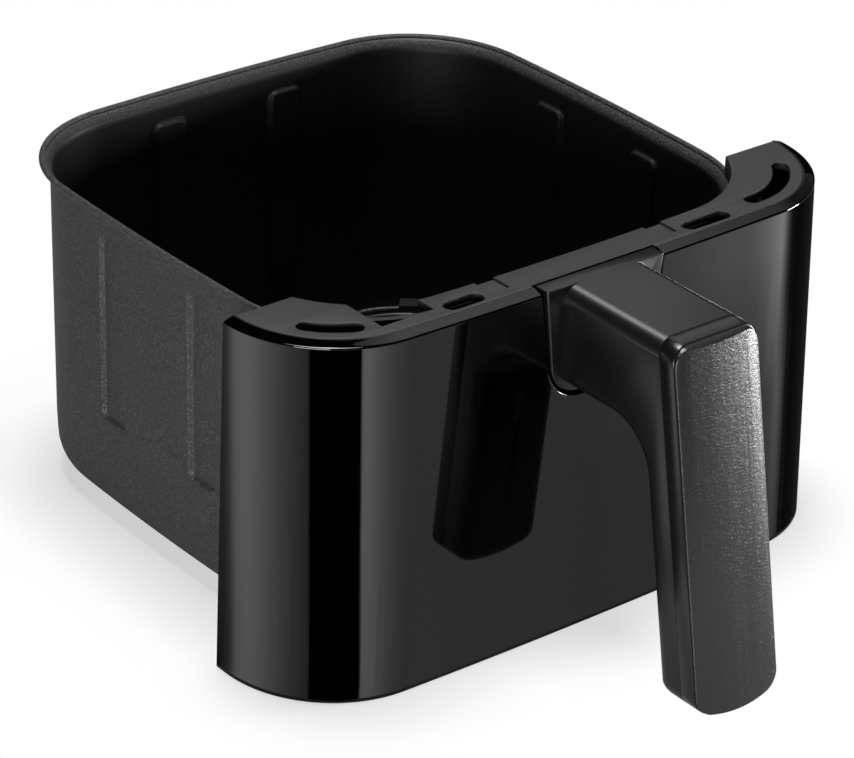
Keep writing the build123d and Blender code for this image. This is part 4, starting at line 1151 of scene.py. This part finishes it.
def screw_tree():
    """Pan-head screw with a cross recess, seated at its point, shank along the axis."""
    g = Grower("Screw", {"Shank": 0.003, "Length": 0.012, "Head": 0.0056, "Head height": 0.002,
                         "Drive width": 0.0009, "Drive depth": 0.0011, "Corners": 40})
    corners, height, shank_length = g.ins["Corners"], g.ins["Head height"], g.ins["Length"]
    head = g.dome(g.times(g.ins["Head"], 0.5), height, corners)
    buried = g.times(height, 0.3)
    middle = g.times(g.maths("SUBTRACT", shank_length, buried), 0.5)
    whole = g.maths("ADD", shank_length, buried)
    shank = g.cylinder(g.times(g.ins["Shank"], 0.5), whole, middle, corners)
    arm = g.times(g.ins["Head"], 0.55)
    deep = g.times(g.ins["Drive depth"], 2.0)
    top = g.times(height, -1.0)
    bars = []
    for size in (g.vector(arm, g.ins["Drive width"], deep), g.vector(g.ins["Drive width"], arm, deep)):
        bars.append(g.moved(g.put("GeometryNodeMeshCube", {"Size": size}), Translation=g.vector(z=top)))
    body = g.combine("DIFFERENCE", g.combine("UNION", head, shank), *bars)
    return g.finish(g.scatter(body))


def rivet_tree():
    """Rivet with a domed head on each side of the sheets, its outer head's seat at its point."""
    g = Grower("Rivet", {"Shank": 0.004, "Sheets": 0.0025, "Head": 0.008, "Head height": 0.0013,
                         "Corners": 40})
    corners, sheets, height = g.ins["Corners"], g.ins["Sheets"], g.ins["Head height"]
    outer = g.dome(g.times(g.ins["Head"], 0.5), height, corners)
    inner = g.moved(outer, Scale=(1.0, 1.0, -1.0))
    inner = g.put("GeometryNodeFlipFaces", {"Mesh": g.moved(inner, Translation=g.vector(z=sheets))})
    shank = g.cylinder(g.times(g.ins["Shank"], 0.5), g.maths("ADD", sheets, height),
                       g.times(sheets, 0.5), corners)
    return g.finish(g.scatter(g.combine("UNION", outer, inner, shank)))


def nut_tree():
    """Hexagon weld nut with a through hole, rising along the axis from its point."""
    g = Grower("Weld nut", {"Flats": 0.007, "Height": 0.003, "Hole": 0.0041})
    height = g.ins["Height"]
    middle = g.times(height, 0.5)
    blank = g.cylinder(g.maths("DIVIDE", g.ins["Flats"], math.sqrt(3)), height, middle, 6)
    hole = g.cylinder(g.times(g.ins["Hole"], 0.5), g.times(height, 1.5), middle, 40)
    return g.finish(g.scatter(g.combine("DIFFERENCE", blank, hole)))


def separate_bodies(solid):
    """The points of each body of a bmesh."""
    left = set(solid.verts)
    while left:
        group = {left.pop()}
        edge = list(group)
        while edge:
            edge = list({other for v in edge for link in v.link_edges for other in link.verts} - group)
            group.update(edge)
        left -= group
        yield group


def screw_seats(node, axis, head_height):
    """Where the heads of a node's fasteners sit, and how far their shanks reach from there."""
    copy = solid_copy(node)
    seats, reach = [], 0.0
    for group in separate_bodies(copy):
        low, high = (Vector(pick(v.co[i] for v in group) for i in range(3)) for pick in (min, max))
        along = [v.co.dot(axis) for v in group]
        middle = (low + high) / 2
        seats.append(middle + axis * (min(along) + head_height - middle.dot(axis)))
        reach = max(reach, max(along) - min(along) - head_height)
    copy.free()
    return sorted(seats, key=lambda seat: tuple(round(c, 5) for c in seat)), reach


class DRAWER_OT_screws(bpy.types.Operator):
    """Every group of screws in the drawer"""
    bl_idname = "drawer.screws"
    bl_label = "Screws"

    def execute(self, context):
        s = settings("fasteners")
        drive = {"Drive width": s.drive_width, "Drive depth": s.drive_depth}
        small = {"Shank": s.small, "Head": s.small_head, "Head height": s.small_head_height}
        machine = {"Shank": s.machine, "Head": s.machine_head, "Head height": s.machine_head_height}
        tree = screw_tree()
        lean = settings("handle").lean
        back_down = Vector((0, math.cos(lean), -math.sin(lean)))
        for node, sizes, axis in (
            ("handle_screws", machine, Vector((0, 1, 0))),
            ("panel_screws", small, Vector((0, -1, 0))),
            ("bezel_screws", small, Vector((0, 0, 1))),
            ("grip_screws", small, back_down),
            ("core_screws", small, back_down),
        ):
            seats, reach = screw_seats(node, axis, sizes["Head height"])
            grown(node + "_cross_head", tree, seats, axis, {**sizes, **drive, "Length": reach}, node)
        return {"FINISHED"}


class DRAWER_OT_rivets(bpy.types.Operator):
    """Rivets and weld nuts of the mounting bracket"""
    bl_idname = "drawer.rivets"
    bl_label = "Rivets and nuts"

    def execute(self, context):
        s = settings("fasteners")
        ahead = Vector((0, 1, 0))
        seats, reach = screw_seats("bracket_rivets", ahead, s.rivet_head_height)
        sizes = {"Shank": s.rivet, "Head": s.rivet_head, "Head height": s.rivet_head_height,
                 "Sheets": reach - s.rivet_head_height}
        grown("bracket_rivets_domed", rivet_tree(), seats, ahead, sizes, "bracket_rivets")
        seats, reach = screw_seats("weld_nuts", ahead, 0.0)
        sizes = {"Flats": s.nut, "Height": reach, "Hole": s.machine + 0.1 * MM}
        grown("weld_nuts_hexagon", nut_tree(), seats, ahead, sizes, "weld_nuts")
        return {"FINISHED"}


# ---------------------------------------------------------------- stage
# Lamps: place, what each faces, width and height in metres, power in watts.
LAMPS = {
    "left": ((-1.0, -0.80, 0.20), (0.0, -0.02, 0.06), (0.6, 0.3), 12.0),
    "above": ((0.0, 0.1, 2.0), (0.0, 0.05, 0.0), (0.7, 0.7), 36.0),
    "back": ((0.9, 1.05, 1.15), (0.0, -0.05, 0.1), (0.9, 0.9), 1.4),
    "right": ((1.05, -0.62, 0.14), (0.03, -0.18, 0.07), (0.3, 0.25), 17.5),
}


def build_lamps():
    for name, (place, target, (width, height), power) in LAMPS.items():
        lamp = bpy.data.lights.new(name, "AREA")
        lamp.shape, lamp.size, lamp.size_y, lamp.energy = "RECTANGLE", width, height, power
        holder = add_object(name, lamp)
        holder.location = place
        holder.rotation_euler = (Vector(target) - Vector(place)).to_track_quat("-Z", "Y").to_euler()


def new_tree(data):
    """The empty node tree of a material or world."""
    data.use_nodes = True
    data.node_tree.nodes.clear()
    return data.node_tree


def glow_material():
    """Emission with its strength in the mesh, for glowing cards that only show in reflections, where
    they paint reflections.
    """
    material = bpy.data.materials.new("reflection_card")
    tree = new_tree(material)
    strength = put(tree, "ShaderNodeAttribute", out="Fac", attribute_name="glow")
    glow = put(tree, "ShaderNodeEmission", {"Strength": strength})
    add_node(tree, "ShaderNodeOutputMaterial", {"Surface": glow})
    return material


# Glowing lanes, seen only in reflections, that paint what the panel reflects: degrees from straight
# ahead towards the panel's left for its corners, millimetres from the middle for its front, then the
# strength at each reach. Those of the left corner share their fade.
LANE_LEVEL = 0.0008  # metres above the floor
LANE_REACHES = (0.002, 0.133, 0.233, 0.30, 0.42)  # metres from the panel's foot
LEFT_FADE = (0.8, 0.95, 1.0, 1.03, 1.03)
LEFT_LANES = (
    (100.0, 0.02), (95.0, 0.07), (92.0, 0.14), (90.0, 0.22), (87.5, 0.43), (85.0, 0.95), (83.0, 1.32),
    (80.0, 1.62), (77.5, 1.74), (75.0, 1.80), (70.0, 1.58), (65.0, 1.29), (60.0, 0.97), (55.0, 0.69),
    (50.0, 0.49), (47.6, 0.40), (46.4, 0.0), (24.7, 0.0), (23.4, 2.00), (22.0, 2.04), (20.0, 1.94),
    (16.0, 1.40), (12.0, 1.04), (8.0, 0.79), (4.0, 0.65), (2.4, 0.58),
)
FRONT_LANES = (
    (-84.0, 0.49, 0.50, 0.52, 0.54, 0.54), (-40.0, 0.44, 0.45, 0.49, 0.54, 0.54),
    (0.0, 0.40, 0.42, 0.46, 0.52, 0.56), (40.0, 0.40, 0.44, 0.60, 0.80, 0.90),
    (60.0, 0.42, 0.50, 0.80, 1.08, 1.20), (74.0, 0.42, 0.55, 0.84, 1.18, 1.30),
    (80.0, 0.42, 0.52, 0.90, 1.40, 1.50), (84.0, 0.45, 0.55, 1.15, 1.75, 1.90),
)
RIGHT_LANES = (
    (-2.4, 0.45, 0.72, 1.85, 2.40, 2.50), (-4.2, 0.50, 0.95, 2.00, 2.75, 2.80),
    (-5.8, 0.50, 1.12, 1.50, 2.30, 2.30), (-8.0, 0.45, 0.90, 0.75, 1.05, 1.10),
    (-10.0, 0.30, 0.50, 0.25, 0.30, 0.30), (-12.5, 0.05, 0.08, 0.05, 0.05, 0.05),
    (-17.0, 0.02, 0.02, 0.02, 0.02, 0.02), (-30.0, 0.03, 0.03, 0.03, 0.03, 0.03),
    (-80.0, 0.03, 0.03, 0.03, 0.03, 0.03),
)
# The glowing card behind the drawer, seen only in reflections, that paints them: distance in metres,
# directions, heights, and strengths height by height.
SKY_DISTANCE = 2.2
SKY_TURNS = (-155.0, -145.0, -135.0, -125.0, -115.0, -100.0)
SKY_HEIGHTS = (20.0, 38.0, 44.0, 50.0, 58.0, 66.0)
SKY_GLOWS = (
    (0.02, 0.10, 0.20, 0.20, 0.10, 0.05),
    (0.02, 0.10, 0.20, 0.20, 0.10, 0.05),
    (0.04, 0.15, 0.30, 0.40, 0.40, 0.30),
    (0.06, 0.25, 0.60, 0.95, 0.95, 0.60),
    (0.08, 0.35, 0.70, 0.95, 0.95, 0.60),
    (0.06, 0.20, 0.40, 0.50, 0.50, 0.30),
)


def camera_back():
    """Direction from what the camera looks at back to the camera."""
    look = settings("stage")
    return Vector((-math.sin(look.azimuth) * math.cos(look.elevation),
                   -math.cos(look.azimuth) * math.cos(look.elevation), math.sin(look.elevation)))


def bounce(place, turn):
    """Level direction in which the camera's view of a place bounces off the leaning panel, which
    faces turn there."""
    s, look = settings("panel"), settings("stage")
    tilt = math.atan2(s.spread * abs(math.sin(turn)) + s.lean * math.cos(turn), s.height)
    facing = Vector((-math.sin(turn) * math.cos(tilt), -math.cos(turn) * math.cos(tilt), math.sin(tilt)))
    camera = Vector(look.target) + camera_back() * look.distance
    away = (place - camera).reflect(facing)
    return Vector((away.x, away.y, 0.0)).normalized()


def reflection_lanes():
    """Glowing lanes just above the floor, seen only in reflections, that paint what the panel reflects,
    from its left side round to its right side.

    Each lane starts at a place on the panel's foot and runs in the direction in which the camera's
    view bounces off there. It has one strength for each reach.
    """
    _, foot = panel_lines()
    middle = Vector((0.0, 0.0, settings("panel").height / 2))
    lanes = []
    for turn, strength in LEFT_LANES:
        strengths = [strength * fade for fade in LEFT_FADE]
        lanes.append((-foot.cx, foot.cy, foot.corner, math.radians(turn), strengths))
    for x, *strengths in FRONT_LANES:
        turn = -math.asin(x * MM / foot.front_radius)
        lanes.append((0.0, foot.y0, foot.front_radius, turn, strengths))
    for turn, *strengths in RIGHT_LANES:
        lanes.append((foot.cx, foot.cy, foot.corner, math.radians(turn), strengths))
    points, glows = [], []
    for x, y, radius, turn, strengths in lanes:
        start = Vector((x - radius * math.sin(turn), -y - radius * math.cos(turn), LANE_LEVEL))
        away = bounce(start + middle, turn)
        for reach, strength in zip(LANE_REACHES, strengths):
            points.append(start + away * reach)
            glows.append(strength)
    return points, glows


def glossy_card(name, points, columns, glows):
    """A glowing sheet of card that shows in reflections only and paints them, from rows of points with a
    strength each.
    """
    mesh = plain_mesh(name, points, grid_faces(len(points) // columns, columns))
    mesh.attributes.new("glow", "FLOAT", "POINT").data.foreach_set("value", glows)
    mesh.materials.append(bpy.data.materials.get("reflection_card") or glow_material())
    sheet = add_object(name, mesh)
    # Painted reflections: these glowing sheets show to glossy rays only
    for ray in ("camera", "diffuse", "transmission", "shadow", "volume_scatter"):
        setattr(sheet, "visible_" + ray, False)


def sky_card(name, turns, heights, distance, glows):
    """Glowing part of a dome around the drawer, seen only in reflections, where it paints reflections,
    between directions and heights in degrees. Directions are counted from straight ahead of the panel
    towards its left. Each row of strengths is one height."""
    points = []
    for height in np.radians(heights):
        level, up = distance * math.cos(height), distance * math.sin(height)
        points += [(-level * math.sin(turn), -level * math.cos(turn), up) for turn in np.radians(turns)]
    glossy_card(name, points, len(turns), [glow for row in glows for glow in row])


def build_reflections():
    """The glowing cards that paint what the glossy parts reflect."""
    points, glows = reflection_lanes()
    glossy_card("panel_reflections", points, len(LANE_REACHES), glows)
    sky_card("sky_behind", SKY_TURNS, SKY_HEIGHTS, SKY_DISTANCE, SKY_GLOWS)


def build_camera():
    """Looks down at the drawer's front left corner."""
    look = settings("stage")
    roll, back = look.roll, camera_back()
    level = Vector((math.cos(look.azimuth), -math.sin(look.azimuth), 0.0))
    rise = back.cross(level)
    right = level * math.cos(roll) + rise * math.sin(roll)
    up = rise * math.cos(roll) - level * math.sin(roll)
    lens = bpy.data.cameras.new("camera")
    lens.sensor_width = 36.0
    lens.lens = look.lens
    lens.shift_x = look.shift_x
    lens.shift_y = look.shift_y
    lens.clip_start = 0.05
    camera = add_object("camera", lens)
    turn = Matrix((right, up, back)).transposed().to_4x4()
    camera.matrix_world = Matrix.Translation(Vector(look.target) + back * look.distance) @ turn
    bpy.context.scene.camera = camera


def build_world():
    """White behind the drawer, faint and even as a light."""
    world = bpy.data.worlds.new("studio")
    bpy.context.scene.world = world
    tree = new_tree(world)
    rays = add_node(tree, "ShaderNodeLightPath").outputs
    seen = maths(tree, "MAXIMUM", rays["Is Camera Ray"], rays["Is Transmission Ray"])
    strength = put(tree, "ShaderNodeMapRange", {"Value": seen, "To Min": settings("stage").ambient})
    sky = put(tree, "ShaderNodeBackground", {"Strength": strength})
    add_node(tree, "ShaderNodeOutputWorld", {"Surface": sky})


FLOOR_PALE = (0.93, 0.93, 0.93, 1.0)  # as the floor is seen
FLOOR_DIM = (0.30, 0.30, 0.30, 1.0)  # as it lights the drawer and is mirrored
FLOOR_MIRRORED = 0.15  # how much of its own white shows in reflections
FADE_BOX = (0.088, 0.096, 0.0)  # half sizes of the box from which the fading is measured
FADE_FROM, FADE_TO = 0.035, 0.08  # distances between which the floor turns fully white


def floor_material():
    """Matte pale grey, with a share of plain white that grows away from the drawer."""
    material = bpy.data.materials.new("floor")
    material.use_nodes = True
    tree = material.node_tree
    rays = add_node(tree, "ShaderNodeLightPath").outputs
    bounced = maths(tree, "MAXIMUM", rays["Is Diffuse Ray"], rays["Is Glossy Ray"])
    shader = tree.nodes["Principled BSDF"]
    join(tree, blend_colour(tree, bounced, FLOOR_PALE, FLOOR_DIM), shader.inputs["Base Color"])
    shader.inputs["Roughness"].default_value = 0.9
    shader.inputs["Specular IOR Level"].default_value = 0.0
    mirrored = maths(tree, "MULTIPLY", rays["Is Glossy Ray"], FLOOR_MIRRORED)
    seen = maths(tree, "MAXIMUM", rays["Is Camera Ray"], mirrored)
    beyond = put(tree, "ShaderNodeTexCoord", out="Object")
    steps = (("ABSOLUTE", {}), ("SUBTRACT", {1: FADE_BOX}), ("MAXIMUM", {1: (0.0, 0.0, 0.0)}))
    for operation, other in steps:
        beyond = put(tree, "ShaderNodeVectorMath", {0: beyond, **other}, operation=operation)
    distance = put(tree, "ShaderNodeVectorMath", {0: beyond}, "Value", operation="LENGTH")
    fade = smooth_range(tree, distance, FADE_FROM, FADE_TO, To_Min=settings("stage").floor_lift)
    lift, glow = maths(tree, "MULTIPLY", seen, fade), put(tree, "ShaderNodeEmission")
    mixed = put(tree, "ShaderNodeMixShader", {0: lift, 1: shader.outputs[0], 2: glow})
    join(tree, mixed, tree.nodes["Material Output"].inputs["Surface"])
    return material


def build_floor():
    """Plain pale floor that fades into the white behind it."""
    half = settings("stage").floor_half
    corners = [(-half, -half, 0), (half, -half, 0), (half, half, 0), (-half, half, 0)]
    floor = add_object("floor", plain_mesh("floor", corners, [(0, 1, 2, 3)]))
    floor.data.materials.append(floor_material())


class DrawerStageSettings(bpy.types.PropertyGroup):
    azimuth: FloatProperty(name="Azimuth", description="Camera's direction, left of straight ahead",
                           default=math.radians(40.09), subtype="ANGLE")
    elevation: FloatProperty(name="Elevation", description="Camera's direction above the floor",
                             default=math.radians(28.07), subtype="ANGLE")
    roll: FloatProperty(name="Roll", description="Camera's turn about its own axis",
                        default=math.radians(2.43), subtype="ANGLE")
    distance: length("From the camera to the point it looks at", "Distance", 1393.6)
    target: FloatVectorProperty(name="Target", description="Point that the camera looks at",
                                default=(0.0, -0.03017, 0.06), size=3, subtype="TRANSLATION")
    lens: FloatProperty(name="Lens", description="Focal length in millimetres", default=155.4)
    shift_x: FloatProperty(name="Shift across", description="Lens shift across", default=-0.0044)
    shift_y: FloatProperty(name="Shift up", description="Lens shift upwards", default=-0.0095)
    ambient: FloatProperty(name="Ambient", description="Strength of the even light", default=0.012)
    floor_lift: share("How much of the floor's white doesn't depend on the light", "Floor lift", 0.55)
    floor_half: length("Half the floor's width", "Floor", 6000.0)


class DRAWER_OT_stage(bpy.types.Operator):
    """Sets up the camera, the lights, the floor and the glowing cards that paint the reflections"""
    bl_idname = "drawer.stage"
    bl_label = "Stage"

    def execute(self, context):
        for build in (build_camera, build_world, build_floor, build_reflections, build_lamps):
            build()
        return {"FINISHED"}


class DRAWER_OT_carried_over(bpy.types.Operator):
    """Gives the solids that stay as they are their finishes"""
    bl_idname = "drawer.carried_over"
    bl_label = "Solids that stay"

    def execute(self, context):
        left = [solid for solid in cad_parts.values() if not solid.hide_render]
        for solid in left:
            for place in solid.material_slots:
                place.material = finish_of(place.material.name)
        return {"FINISHED"}


class DRAWER_PT_panel(bpy.types.Panel):
    """Sidebar panel with the drawer's sizes and builders"""
    bl_label = "Air Fryer Drawer"
    bl_space_type = "VIEW_3D"
    bl_region_type = "UI"
    bl_category = "Drawer"

    def draw(self, context):
        for name, _ in SETTINGS:
            box = self.layout.box()
            box.label(text=name.replace("_", " ").capitalize())
            for prop in settings(name).bl_rna.properties:
                if prop.identifier not in ("name", "rna_type"):
                    box.prop(settings(name), prop.identifier)
        for operator in OPERATORS:
            self.layout.operator(operator.bl_idname)


SETTINGS = (
    ("pan", DrawerPanSizes),
    ("panel", DrawerPanelSizes),
    ("mount", DrawerMountSizes),
    ("bezel", DrawerBezelSizes),
    ("handle", DrawerHandleSizes),
    ("fasteners", DrawerFastenerSizes),
    ("finishes", DrawerFinishes),
    ("stage", DrawerStageSettings),
)
OPERATORS = (
    DRAWER_OT_pan,
    DRAWER_OT_front_panel,
    DRAWER_OT_top_bezel,
    DRAWER_OT_handle,
    DRAWER_OT_screws,
    DRAWER_OT_rivets,
    DRAWER_OT_carried_over,
    DRAWER_OT_stage,
)


def register():
    for _, group in SETTINGS:
        bpy.utils.register_class(group)
    for operator in OPERATORS:
        bpy.utils.register_class(operator)
    bpy.utils.register_class(DRAWER_PT_panel)
    for name, group in SETTINGS:
        setattr(bpy.types.Scene, "drawer_" + name, PointerProperty(type=group))


def unregister():
    for name, _ in SETTINGS:
        delattr(bpy.types.Scene, "drawer_" + name)
    bpy.utils.unregister_class(DRAWER_PT_panel)
    for operator in reversed(OPERATORS):
        bpy.utils.unregister_class(operator)
    for _, group in reversed(SETTINGS):
        bpy.utils.unregister_class(group)


def main():
    register()
    bpy.context.scene.view_settings.view_transform = "Standard"
    for operator in OPERATORS:
        group, name = operator.bl_idname.split(".")
        getattr(getattr(bpy.ops, group), name)()


if __name__ == "__main__":
    main()
